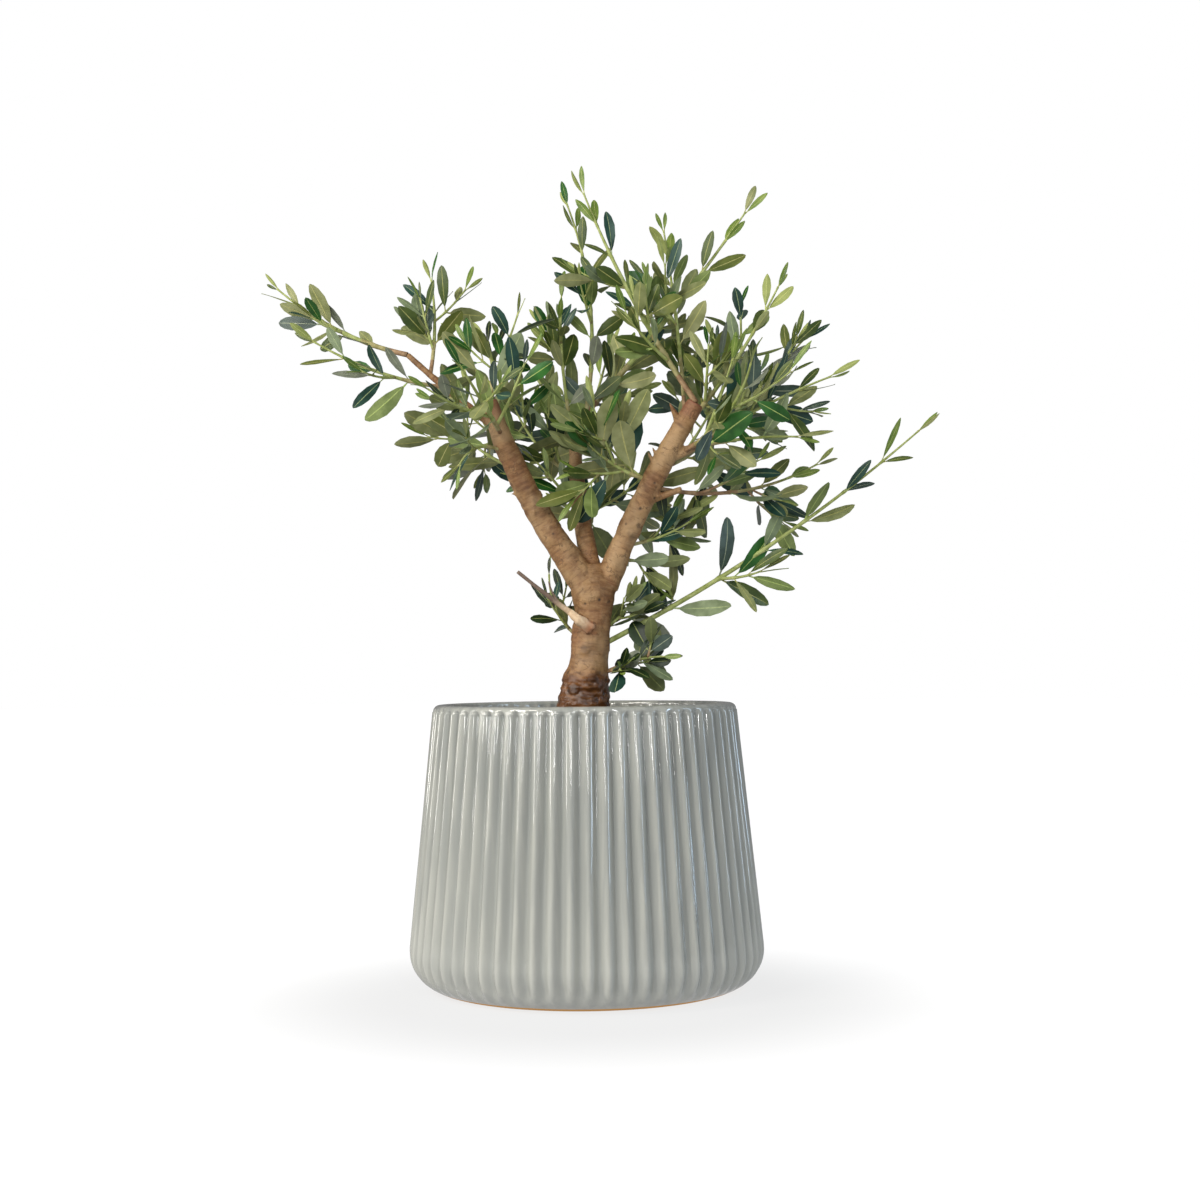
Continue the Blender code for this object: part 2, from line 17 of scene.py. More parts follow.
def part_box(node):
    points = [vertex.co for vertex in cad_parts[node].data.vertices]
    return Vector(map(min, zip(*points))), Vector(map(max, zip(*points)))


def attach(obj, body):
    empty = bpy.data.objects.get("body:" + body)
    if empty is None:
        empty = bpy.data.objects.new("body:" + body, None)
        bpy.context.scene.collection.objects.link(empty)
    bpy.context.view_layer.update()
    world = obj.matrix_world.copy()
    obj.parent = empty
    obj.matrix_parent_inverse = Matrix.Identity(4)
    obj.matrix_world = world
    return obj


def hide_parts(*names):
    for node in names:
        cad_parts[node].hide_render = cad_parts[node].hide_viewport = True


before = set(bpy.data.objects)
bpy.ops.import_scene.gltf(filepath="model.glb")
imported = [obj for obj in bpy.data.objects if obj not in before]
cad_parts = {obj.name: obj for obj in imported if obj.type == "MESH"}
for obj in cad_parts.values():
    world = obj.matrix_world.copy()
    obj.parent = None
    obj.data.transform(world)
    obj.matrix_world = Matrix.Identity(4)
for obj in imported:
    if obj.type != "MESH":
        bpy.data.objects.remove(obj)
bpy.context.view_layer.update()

bpy.ops.object.select_all(action="DESELECT")

# ----------------------------------------------------------------------------------------
# Planter. One stoneware pot with upright ribs and narrow, round-topped grooves between
# them, dipped in a pale grey-green glaze that breaks lighter on the ribs and pools darker
# in the grooves. Its foot is wiped clean before firing, so a line of bare clay shows.

POT_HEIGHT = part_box("planter")[1].z
POT_RIM_RADIUS = 0.1289
POT_FOOT_RADIUS = 0.1170
POT_CORNER = 0.0330
POT_WALL = 0.0105
POT_FLOOR = 0.0120
RIM_ROUND = 0.0056
LIP_ROUND = 0.0034
RIBS = 62
RIB_TURN = math.radians(1.3)
RIB_COLUMNS = 14
CORNER_STEPS = 14
WALL_STEPS = 18
RIM_STEPS = 8
LIP_STEPS = 5
INNER_HEIGHTS = (0.19, 0.13, 0.08)
RIB_ROUND = 1.92
GROOVE_DEPTH = 0.0056
GROOVES_SOFTEN = 0.150
GROOVE_START = 0.0022
GROOVE_FULL = 0.0078
GROOVE_FOOT = 0.0015
GROOVE_FOOT_RUN = 0.0200
GROOVE_WANDER = 0.22
FOOT_RING = 0.0095
FOOT_RECESS = 0.0022
BARE_CLAY = 0.0034


def linear(colour):
    """Turns an sRGB hex colour into the linear colour that a shader takes."""
    channels = [int(colour[place : place + 2], 16) / 255 for place in (1, 3, 5)]
    return [*(c / 12.92 if c <= 0.04045 else ((c + 0.055) / 1.055) ** 2.4 for c in channels), 1]


def add_node(tree, kind, inputs, **settings):
    """Adds a node. Each input is a plain value, or the output that feeds it."""
    added = tree.nodes.new("ShaderNode" + kind)
    for name, value in settings.items():
        setattr(added, name, value)
    for name, value in inputs.items():
        if isinstance(value, bpy.types.NodeSocket):
            tree.links.new(value, added.inputs[name])
        elif isinstance(value, str):
            added.inputs[name].default_value = linear(value)
        else:
            added.inputs[name].default_value = value
    return added.outputs


def new_finish(name):
    """A material, its tree, its shader, and the place on the piece that patterns read."""
    made = bpy.data.materials.new(name)
    made.use_nodes = True
    tree = made.node_tree
    place = add_node(tree, "TexCoord", {})["Object"]
    return made, tree, tree.nodes["Principled BSDF"], place


def pot_lean():
    """The wall's lean from upright: a line through the rim that just touches the corner."""
    run = POT_FOOT_RADIUS - POT_RIM_RADIUS
    reach = math.hypot(run, POT_HEIGHT - POT_CORNER)
    return math.asin(POT_CORNER / reach) + math.asin(run / reach)


def pot_radius(z):
    """How far the leaning wall stands from the axis at this height."""
    return POT_RIM_RADIUS + (POT_HEIGHT - z) * math.tan(pot_lean())


def pot_profile():
    """Radius and height from the recess under the foot, up the outside, and down inside."""
    ring = POT_FOOT_RADIUS - FOOT_RING
    spots = [
        (ring - 0.006, FOOT_RECESS),
        (ring - 0.002, FOOT_RECESS * 0.9),
        (ring, 0.0002),
        (ring + 0.0008, 0.0),
    ]
    for step in range(CORNER_STEPS + 1):
        angle = -math.pi / 2 + (math.pi / 2 + pot_lean()) * step / CORNER_STEPS
        radius = POT_FOOT_RADIUS + POT_CORNER * math.cos(angle)
        spots.append((radius, POT_CORNER + POT_CORNER * math.sin(angle)))
    wall_from, wall_to = spots[-1][1], POT_HEIGHT - GROOVE_FULL - 0.002
    for step in range(1, WALL_STEPS + 1):
        z = wall_from + (wall_to - wall_from) * step / WALL_STEPS
        spots.append((pot_radius(z), z))
    for step in range(1, RIM_STEPS):
        z = wall_to + (POT_HEIGHT - RIM_ROUND - wall_to) * step / RIM_STEPS
        spots.append((pot_radius(z), z))
    for step in range(RIM_STEPS + 1):
        angle = math.pi / 2 * step / RIM_STEPS
        radius = POT_RIM_RADIUS - RIM_ROUND * (1 - math.cos(angle))
        spots.append((radius, POT_HEIGHT - RIM_ROUND * (1 - math.sin(angle))))
    inner = POT_RIM_RADIUS - POT_WALL
    for step in range(LIP_STEPS + 1):
        angle = math.pi / 2 * step / LIP_STEPS
        radius = inner + LIP_ROUND * (1 - math.sin(angle))
        spots.append((radius, POT_HEIGHT - LIP_ROUND * (1 - math.cos(angle))))
    for z in (*INNER_HEIGHTS, POT_CORNER + POT_FLOOR):
        spots.append((pot_radius(z) - POT_WALL, z))
    foot = POT_FOOT_RADIUS - POT_WALL
    return spots + [(foot + 0.010, POT_FLOOR + 0.012), (foot, POT_FLOOR)]


def ease(value):
    """Goes from 0 to 1 with a soft start and end, and stays at 0 below and at 1 above."""
    value = min(max(value, 0.0), 1.0)
    return value * value * (3 - 2 * value)


def groove(angle, z):
    """How deep the pot is grooved here, from 0 on a rib to 1 at the bottom of a groove."""
    across = ((angle - RIB_TURN) * RIBS / (2 * math.pi) + 0.5) % 1.0 - 0.5
    from_top = ease((POT_HEIGHT - GROOVE_START - z) / (GROOVE_FULL - GROOVE_START))
    from_foot = ease((z - GROOVE_FOOT) / GROOVE_FOOT_RUN)
    full = 1 - math.sqrt(1 - (RIB_ROUND / 2) ** 2)
    sharp = (1 - math.sqrt(1 - (RIB_ROUND * across) ** 2)) / full
    soft = 0.5 - 0.5 * math.cos(2 * math.pi * across)
    low = ease((POT_HEIGHT - z) / GROOVES_SOFTEN)
    return (sharp + (soft * 0.9 - sharp) * (0.25 + 0.65 * low)) * min(from_top, from_foot)


profile = pot_profile()
bpy.ops.mesh.primitive_circle_add(
    vertices=RIBS * RIB_COLUMNS, radius=profile[0][0], location=(0, 0, profile[0][1])
)
planter = bpy.context.object
planter.name = "glazed_planter"
bpy.ops.object.transform_apply()
bpy.ops.object.mode_set(mode="EDIT")
for (low_radius, low), (radius, z) in zip(profile, profile[1:]):
    bpy.ops.mesh.extrude_region_move(TRANSFORM_OT_translate={"value": (0, 0, z - low)})
    scale = radius / low_radius
    bpy.ops.transform.resize(value=(scale, scale, 1), center_override=(0, 0, z))
bpy.ops.mesh.edge_face_add()
bpy.ops.mesh.select_all(action="DESELECT")
bpy.ops.mesh.select_non_manifold()
bpy.ops.mesh.edge_face_add()
bpy.ops.mesh.select_all(action="SELECT")
bpy.ops.mesh.normals_make_consistent(inside=False)
bpy.ops.object.mode_set(mode="OBJECT")

pooled = planter.data.attributes.new("pooled", "FLOAT", "POINT")
outside = POT_RIM_RADIUS - RIM_ROUND - 0.0005
for vertex in planter.data.vertices:
    spot = vertex.co
    radius = math.hypot(spot.x, spot.y)
    angle = math.atan2(spot.y, spot.x) + math.pi / 2
    if radius < outside - 0.5 * ease((0.02 - spot.z) / 0.02) or radius < POT_FOOT_RADIUS + 1e-4:
        continue
    depth = groove(angle, spot.z)
    wave = noise.noise(Vector((spot.x * 45, spot.y * 45, spot.z * 16)))
    cut = GROOVE_DEPTH * depth * (1 + GROOVE_WANDER * wave) + 0.0002 * abs(wave)
    shrunk = 1 - cut / radius
    vertex.co = (spot.x * shrunk, spot.y * shrunk, spot.z)
    pooled.data[vertex.index].value = depth

# Stoneware glaze: glassy and wet-looking, mottled and faintly streaked where it ran down,
# and painted paler towards the foot: painted light that brightens the lower wall.
glaze, tree, shader, place = new_finish("celadon_glaze")
depth = add_node(tree, "Attribute", {}, attribute_name="pooled")["Fac"]
runs = add_node(tree, "Mapping", {"Vector": place, "Scale": (1.0, 1.0, 0.22)})["Vector"]
mottle = {"Vector": runs, "Scale": 55.0, "Detail": 4.0, "Roughness": 0.55}
cloud = add_node(tree, "TexNoise", mottle)["Fac"]
speck = add_node(tree, "TexNoise", {"Vector": place, "Scale": 900.0, "Detail": 2.0})["Fac"]
rib = add_node(tree, "Mix", {0: cloud, 6: "#9EA09A", 7: "#B0B1A9"}, data_type="RGBA")[2]
pool = add_node(tree, "Mix", {0: cloud, 6: "#7A7E7B", 7: "#8F938F"}, data_type="RGBA")[2]
body = add_node(tree, "Mix", {0: depth, 6: rib, 7: pool}, data_type="RGBA")[2]
pepper = {"Value": speck, "From Min": 0.66, "From Max": 0.74, "To Max": 0.25}
peppered = add_node(tree, "MapRange", pepper)[0]
body = add_node(tree, "Mix", {0: peppered, 6: body, 7: "#7C7E74"}, data_type="RGBA")[2]
drips = add_node(tree, "Mapping", {"Vector": place, "Scale": (1.0, 1.0, 0.035)})["Vector"]
drip = add_node(tree, "TexNoise", {"Vector": drips, "Scale": 150.0, "Detail": 2.0})["Fac"]
streaks = {"Value": drip, "From Min": 0.42, "From Max": 0.60, "To Max": 0.55}
drip = add_node(tree, "MapRange", streaks)[0]
body = add_node(tree, "Mix", {0: drip, 6: body, 7: "#868A88"}, data_type="RGBA")[2]
# Painted light: the base colour turns paler towards the foot, brightening the lower wall.
height = add_node(tree, "SeparateXYZ", {0: place})["Z"]
painted_foot_light_ramp = {"Value": height, "From Min": 0.0, "From Max": 0.21, "To Min": 0.36, "To Max": 0.0}
painted_foot_light = add_node(tree, "MapRange", painted_foot_light_ramp)[0]
body = add_node(tree, "Mix", {0: painted_foot_light, 6: body, 7: "#C9CAC3"}, data_type="RGBA")[2]
tree.links.new(body, shader.inputs["Base Color"])
patch = add_node(tree, "MapRange", {"Value": cloud, "To Min": 0.05, "To Max": 0.11})[0]
tree.links.new(patch, shader.inputs["Roughness"])
shader.inputs["IOR"].default_value = 1.60
shader.inputs["Coat Weight"].default_value = 0.90
shader.inputs["Coat Roughness"].default_value = 0.05
ripple = add_node(tree, "TexNoise", {"Vector": drips, "Scale": 120.0, "Detail": 2.0})["Fac"]
bump = add_node(tree, "Bump", {"Strength": 0.30, "Distance": 0.0006, "Height": ripple})["Normal"]
tree.links.new(bump, shader.inputs["Normal"])

# Bare clay: dry, sandy and buff-orange where the glaze was wiped off.
clay, tree, shader, place = new_finish("fired_clay")
grit = add_node(tree, "TexNoise", {"Vector": place, "Scale": 1400.0, "Detail": 3.0})["Fac"]
warm = add_node(tree, "Mix", {0: grit, 6: "#D8933F", 7: "#F2BC72"}, data_type="RGBA")[2]
tree.links.new(warm, shader.inputs["Base Color"])
shader.inputs["Roughness"].default_value = 0.85
bump = add_node(tree, "Bump", {"Strength": 0.4, "Distance": 0.0003, "Height": grit})["Normal"]
tree.links.new(bump, shader.inputs["Normal"])

planter.data.materials.append(glaze)
planter.data.materials.append(clay)
for face in planter.data.polygons:
    face.material_index = int(face.center.z < BARE_CLAY)
    face.use_smooth = len(face.vertices) < 5
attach(planter, "root")
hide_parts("planter")

# ----------------------------------------------------------------------------------------
# Potting soil. Dark, moist, crumbly compost that settled to a finger's width under the
# rim, higher round the trunk, with loose crumbs and slivers of bark on its surface.

SOIL_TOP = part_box("soil")[1].z
SOIL_SIDES = 180
SOIL_RINGS = 44
SOIL_DEPTH = 0.020
SOIL_CLEAR = 0.0008
CRUMBS = 620
CRUMB_SIZES = (0.0012, 0.0034)

soil_radius = pot_radius(SOIL_TOP) - POT_WALL - SOIL_CLEAR
bpy.ops.mesh.primitive_circle_add(
    vertices=SOIL_SIDES,
    radius=soil_radius,
    location=(0, 0, SOIL_TOP - SOIL_DEPTH),
    fill_type="NGON",
)
soil = bpy.context.object
soil.name = "potting_soil"
bpy.ops.object.transform_apply()
bpy.ops.object.mode_set(mode="EDIT")
bpy.ops.mesh.extrude_region_move(TRANSFORM_OT_translate={"value": (0, 0, SOIL_DEPTH)})
bpy.ops.mesh.extrude_region_move()
for ring in range(SOIL_RINGS - 1):
    scale = (SOIL_RINGS - ring - 1) / (SOIL_RINGS - ring)
    bpy.ops.transform.resize(value=(scale, scale, 1), center_override=(0, 0, SOIL_TOP))
    bpy.ops.mesh.extrude_region_move()
bpy.ops.mesh.merge(type="CENTER")
bpy.ops.mesh.select_all(action="DESELECT")
bpy.ops.mesh.select_non_manifold()
bpy.ops.mesh.edge_face_add()
bpy.ops.mesh.select_all(action="SELECT")
bpy.ops.mesh.normals_make_consistent(inside=False)
bpy.ops.object.mode_set(mode="OBJECT")


def soil_height(x, y):
    """How far the soil stands off its level: a low mound at the trunk, clods and crumbs."""
    mound = -0.0035 * ease(math.hypot(x, y) / soil_radius)
    clods = 0.0016 * noise.noise(Vector((x * 60, y * 60, 1.0)))
    crumbs = 0.0011 * noise.noise(Vector((x * 210, y * 210, 5.0)))
    return mound + clods + crumbs - 0.0008


for vertex in soil.data.vertices:
    if vertex.co.z > SOIL_TOP - 1e-4:
        vertex.co.z += soil_height(vertex.co.x, vertex.co.y)

rng = random.Random("crumbs")
bpy.ops.mesh.primitive_ico_sphere_add(subdivisions=1, radius=1.0, location=(0, 0, 0))
crumb = bpy.context.object
lumps = bmesh.new()
for index in range(CRUMBS):
    angle, reach = rng.uniform(0, 2 * math.pi), soil_radius * 0.985 * math.sqrt(rng.random())
    x, y = reach * math.cos(angle), reach * math.sin(angle)
    size = rng.uniform(*CRUMB_SIZES) * rng.uniform(0.5, 1.0)
    flat = rng.choice((1.0, 0.8, 0.35))
    lean = Quaternion((rng.random(), rng.random(), rng.random()), rng.uniform(0, 3))
    turn = lean.to_matrix().to_4x4()
    shape = Matrix.Diagonal((size * rng.uniform(1.0, 2.4), size, size * flat, 1))
    spot = Matrix.Translation((x, y, SOIL_TOP + soil_height(x, y) + size * 0.2))
    start = len(lumps.verts)
    lumps.from_mesh(crumb.data)
    lumps.verts.ensure_lookup_table()
    for vertex in lumps.verts[start:]:
        vertex.co = spot @ turn @ shape @ (vertex.co * rng.uniform(0.8, 1.15))
crumb.name = "soil_crumbs"
lumps.to_mesh(crumb.data)
lumps.free()

# Compost: matt and dark brown, blacker where it is wet, with paler grains in it.
compost, tree, shader, place = new_finish("moist_compost")
wet = {"Vector": place, "Scale": 70.0, "Detail": 6.0, "Roughness": 0.7}
damp = add_node(tree, "TexNoise", wet)["Fac"]
grain = add_node(tree, "TexVoronoi", {"Vector": place, "Scale": 520.0}, feature="F1")["Distance"]
earth = add_node(tree, "Mix", {0: damp, 6: "#1E1611", 7: "#4A3828"}, data_type="RGBA")[2]
earth = add_node(tree, "Mix", {0: grain, 6: earth, 7: "#6A5440"}, data_type="RGBA")[2]
tree.links.new(earth, shader.inputs["Base Color"])
shader.inputs["Roughness"].default_value = 0.92
bump = add_node(tree, "Bump", {"Strength": 0.8, "Distance": 0.0012, "Height": grain})["Normal"]
tree.links.new(bump, shader.inputs["Normal"])
for piece in (soil, crumb):
    piece.data.materials.clear()
    piece.data.materials.append(compost)
    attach(piece, "root")
    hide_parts("soil")

# ----------------------------------------------------------------------------------------
# Trunk and boughs. One continuous skin of young olive bark over wood: smooth, tan and
# finely wrinkled across the grain, warmer and knobbly at the foot, where old buds made a
# burl, with black pruning scars, thorn-like spurs and boughs that end in sawn faces.

SOIL_GAP = 0.0003
Limb = namedtuple("Limb", "carrier at off tip bow radii")
TRUNK_FOOT = Vector((-0.0053, 0.0, SOIL_TOP + SOIL_GAP))
TRUNK_TOP = Vector((0.0093, 0.0, 0.3580))
TRUNK_BOW = Vector((0.0033, 0.0, 0.0))
TRUNK_RADII = (0.0240, 0.0205, 0.0184, 0.0166, 0.0158, 0.0160, 0.0196, 0.0085)
LIMBS = {
    "bough_left": Limb(
        "trunk", 0.86, (-0.004, 0.000, 0.000), (-0.0786, -0.0200, 0.4958), (-0.0068, 0.004, -0.0045),
        (0.0140, 0.0110, 0.0100, 0.0095, 0.0070),
    ),
    "bough_right": Limb(
        "trunk", 0.86, (0.0095, 0.000, 0.000), (0.0965, -0.0250, 0.4920), (-0.0035, 0.003, 0.0015),
        (0.0118, 0.0098, 0.0098, 0.0092, 0.0074),
    ),
    "bough_back": Limb(
        "trunk", 0.92, (0.000, 0.004, 0.000), (-0.0067, 0.0500, 0.4843), (-0.0044, -0.004, -0.002),
        (0.0088, 0.0072, 0.0048),
    ),
    "branch_left": Limb(
        "bough_left", 0.86, (0.000, 0.000, 0.000), (-0.1482, -0.0100, 0.5375), (-0.0010, -0.001, -0.001),
        (0.0038, 0.0031, 0.0024),
    ),
    "branch_right": Limb(
        "bough_right", 0.70, (0.000, 0.000, 0.000), (0.1027, -0.0150, 0.4610), (0.0010, -0.001, -0.002),
        (0.0060, 0.0042, 0.0030),
    ),
    "stub_right": Limb(
        "bough_right", 0.45, (0.000, 0.000, 0.000), (0.0842, -0.0120, 0.4201), (0.0, 0.0, 0.0),
        (0.0040, 0.0032, 0.0026),
    ),
    "dead_twig": Limb(
        "trunk", 0.61, (0.000, -0.010, 0.000), (-0.0550, -0.0300, 0.3504), (0.0, -0.002, -0.001),
        (0.0034, 0.0020, 0.0014),
    ),
}
BARK_VOXEL = 0.00088
BARK_SIDES = 36
BARK_STEP = 0.0025
ROOT_LOBES = 5
ROOT_LOBE = 0.13
ROOT_LOBE_HEIGHT = 0.014
TRUNK_SUNK = 0.004

# Short dead spurs: the limb, the place on it, the turn from its front, length and radius.
SPURS = (
    ("bough_right", 0.62, -60, 0.011, 0.0021),
    ("bough_right", 0.66, -75, 0.008, 0.0017),
    ("bough_right", 0.86, -70, 0.016, 0.0026),
    ("bough_right", 0.47, 65, 0.007, 0.0022),
    ("bough_left", 0.40, -15, 0.004, 0.0022),
    ("bough_left", 0.52, -80, 0.006, 0.0022),
    ("bough_left", 0.30, 150, 0.009, 0.0020),
    ("bough_back", 0.55, 160, 0.008, 0.0016),
    ("trunk", 0.72, 170, 0.010, 0.0026),
    ("trunk", 0.42, 215, 0.007, 0.0024),
)

# Old buds, knobs and scars come in groups: the limb, the stretch of it and the turns from its
# front that the group covers, how many it has, their radii, how far they stand off, how dark.
ALL_ROUND = (-180, 180)
KNOT_GROUPS = {
    "burl_knobs": (
        "trunk", (0.10, 0.34), ALL_ROUND, 18, (0.0040, 0.0085), (0.0012, 0.0026), (0.0, 0.20),
    ),
    "burl_pits": (
        "trunk", (0.17, 0.33), ALL_ROUND, 14, (0.0022, 0.0038), (-0.0024, -0.0014), (0.6, 0.9),
    ),
    "trunk_buds": (
        "trunk", (0.42, 0.72), ALL_ROUND, 9, (0.0028, 0.0056), (0.0006, 0.0015), (0.05, 0.4),
    ),
    "trunk_scars": (
        "trunk", (0.70, 0.96), (-70, 70), 6, (0.0012, 0.0022), (-0.0008, -0.0005), (0.6, 0.95),
    ),
    "left_scars": (
        "bough_left", (0.22, 0.52), (-40, 80), 7, (0.0011, 0.0017), (-0.0006, -0.0004), (0.6, 0.95),
    ),
    "left_buds": (
        "bough_left", (0.30, 0.75), ALL_ROUND, 7, (0.0026, 0.0060), (0.0006, 0.0018), (0.0, 0.5),
    ),
    "right_scars": (
        "bough_right", (0.28, 0.66), (-30, 85), 7, (0.0014, 0.0022), (-0.0008, -0.0005), (0.5, 0.85),
    ),
    "right_buds": (
        "bough_right", (0.22, 0.88), ALL_ROUND, 8, (0.0024, 0.0058), (0.0006, 0.0014), (0.2, 0.5),
    ),
    "back_buds": (
        "bough_back", (0.30, 0.70), ALL_ROUND, 4, (0.0026, 0.0040), (0.0006, 0.0010), (0.2, 0.4),
    ),
}
# Where the dead twig tore away: the place on the trunk, its turn and how far the tear spreads.
TEAR = (0.610, -4, 0.0075)
# The burl's upper edge, where the old wood ends in a ledge, and the brown bark above it.
BURL_TOP = 0.2680
BROWN_TOP = 0.3120
BROWNING = 0.30
# Wrinkles: how far apart they run round a limb, and as arcs under the fork, within ARC_REACH
# of the crotch in front of it.
WRINKLE_GAP = 0.0044
ARC_GAP = 0.0026
ARC_REACH = 0.034
CROTCH_AT = 0.96
CROTCH_OFF = Vector((0, -0.012, 0))
AXIS_STEPS = 160


class Path:
    """A smooth curve from root to tip, whose middle stands off the straight line by bow."""

    def __init__(self, root, tip, bow, radii):
        self.root = Vector(root)
        self.tip = Vector(tip)
        self.control = (self.root + self.tip) / 2 + 2 * Vector(bow)
        self.radii = radii
        self.length = sum(
            (self.point(step / 8) - self.point((step + 1) / 8)).length for step in range(8)
        )

    def point(self, t):
        """The place on the curve at t, which goes from 0 at the root to 1 at the tip."""
        return self.root.lerp(self.control, t).lerp(self.control.lerp(self.tip, t), t)

    def tangent(self, t):
        """The direction in which the curve runs at t."""
        return ((self.control - self.root).lerp(self.tip - self.control, t)).normalized()

    def radius(self, t):
        """The limb's radius at t. The radii are spread evenly from root to tip."""
        place = min(max(t, 0.0), 1.0) * (len(self.radii) - 1)
        low = min(int(place), len(self.radii) - 2)
        return self.radii[low] + (self.radii[low + 1] - self.radii[low]) * (place - low)

    def across(self, t, angle):
        """The direction that leaves the curve square to it, at this angle round it."""
        tangent = self.tangent(t)
        start = Vector((1, 0, 0)) if abs(tangent.x) < 0.8 else Vector((0, 1, 0))
        side = tangent.cross(start).normalized()
        return math.cos(angle) * side + math.sin(angle) * tangent.cross(side)

    def facing(self, t, degrees):
        """The direction that leaves the curve square to it, turned from the object's front."""
        tangent = self.tangent(t)
        front = Vector((0, -1, 0))
        front = (front - tangent * front.dot(tangent)).normalized()
        return Quaternion(tangent, math.radians(degrees)) @ front


def add_object(name, data):
    """Puts an object with this mesh, light or camera into the scene."""
    made = bpy.data.objects.new(name, data)
    bpy.context.scene.collection.objects.link(made)
    return made


def new_piece(name, bm):
    """Turns a finished bmesh into a piece of the scene."""
    mesh = bpy.data.meshes.new(name)
    bm.to_mesh(mesh)
    bm.free()
    return add_object(name, mesh)


def tube(bm, path, sides, step, shape=None, finish=None):
    """Adds a closed tube along the path. shape moves each point, finish names each face's
    material by its place along the path."""
    steps = max(2, round(path.length / step))
    side = path.across(0.0, 0.0)
    loops = []
    for index in range(steps + 1):
        t = index / steps
        tangent = path.tangent(t)
        side = (side - tangent * side.dot(tangent)).normalized()
        other = tangent.cross(side)
        centre = path.point(t)
        ring = []
        for corner in range(sides):
            angle = 2 * math.pi * corner / sides
            spot = centre + (math.cos(angle) * side + math.sin(angle) * other) * path.radius(t)
            ring.append(bm.verts.new(shape(spot, centre, t) if shape else spot))
        loops.append(ring)
    for index, (low, high) in enumerate(zip(loops, loops[1:])):
        for place in range(sides):
            after = (place + 1) % sides
            face = bm.faces.new((low[place], low[after], high[after], high[place]))
            face.smooth = True
            face.material_index = finish(index / steps) if finish else 0
    bm.faces.new(reversed(loops[0]))
    end = bm.faces.new(loops[-1])
    end.material_index = finish(1.0) if finish else 0


def limb_paths():
    """The curve of the trunk and of each limb, with every root on its carrier's curve."""
    paths = {"trunk": Path(TRUNK_FOOT, TRUNK_TOP, TRUNK_BOW, TRUNK_RADII)}
    for name, limb in LIMBS.items():
        root = paths[limb.carrier].point(limb.at) + Vector(limb.off)
        paths[name] = Path(root, limb.tip, limb.bow, limb.radii)
    return paths


def root_flare(spot, centre, t):
    """Spreads the trunk's foot into low root lobes, and sinks it a little into the soil."""
    out = spot - centre
    angle = math.atan2(out.y, out.x)
    height = max(centre.z - TRUNK_FOOT.z, 0.0)
    lobe = ROOT_LOBE * math.exp(-height / ROOT_LOBE_HEIGHT) * math.cos(ROOT_LOBES * angle)
    found = centre + out * (1 + lobe)
    if t == 0.0:
        found.z = centre.z - TRUNK_SUNK
    return found


limbs = limb_paths()
skin = bmesh.new()
for name, path in limbs.items():
    if name != "dead_twig":
        tube(skin, path, BARK_SIDES, BARK_STEP, root_flare if name == "trunk" else None)
for name, t, turn, length, radius in SPURS:
    path = limbs[name]
    out = (path.facing(t, turn) + path.tangent(t) * 0.7).normalized()
    root = path.point(t) + out * path.radius(t) * 0.5
    tip = root + out * (path.radius(t) * 0.5 + length)
    tube(skin, Path(root, tip, (0, 0, 0.0006), (radius * 1.5, radius, radius * 0.35)), 10, 0.002)
bark = new_piece("olive_bark", skin)
bpy.context.view_layer.objects.active = bark
blend = bark.modifiers.new("blend", "REMESH")
blend.mode = "VOXEL"
blend.voxel_size = BARK_VOXEL
blend.use_smooth_shade = True
soften = bark.modifiers.new("soften", "SMOOTH")
soften.factor = 0.5
soften.iterations = 8
bpy.ops.object.modifier_apply(modifier="blend")
bpy.ops.object.modifier_apply(modifier="soften")

# Every point of the bark finds its place on its limb, so that wrinkles run round the limb.
axis = []
for name, path in limbs.items():
    if name != "dead_twig":
        axis += [(name, path, step / AXIS_STEPS) for step in range(AXIS_STEPS + 1)]
near = KDTree(len(axis))
for index, (name, path, t) in enumerate(axis):
    near.insert(path.point(t), index)
near.balance()
knots = []
for group, (name, stretch, turns, count, radii, heights, darks) in KNOT_GROUPS.items():
    rng = random.Random(group)
    path = limbs[name]
    for index in range(count):
        t = rng.uniform(*stretch)
        spot = path.point(t) + path.facing(t, rng.uniform(*turns)) * path.radius(t)
        knots.append((spot, rng.uniform(*radii), rng.uniform(*heights), rng.uniform(*darks)))

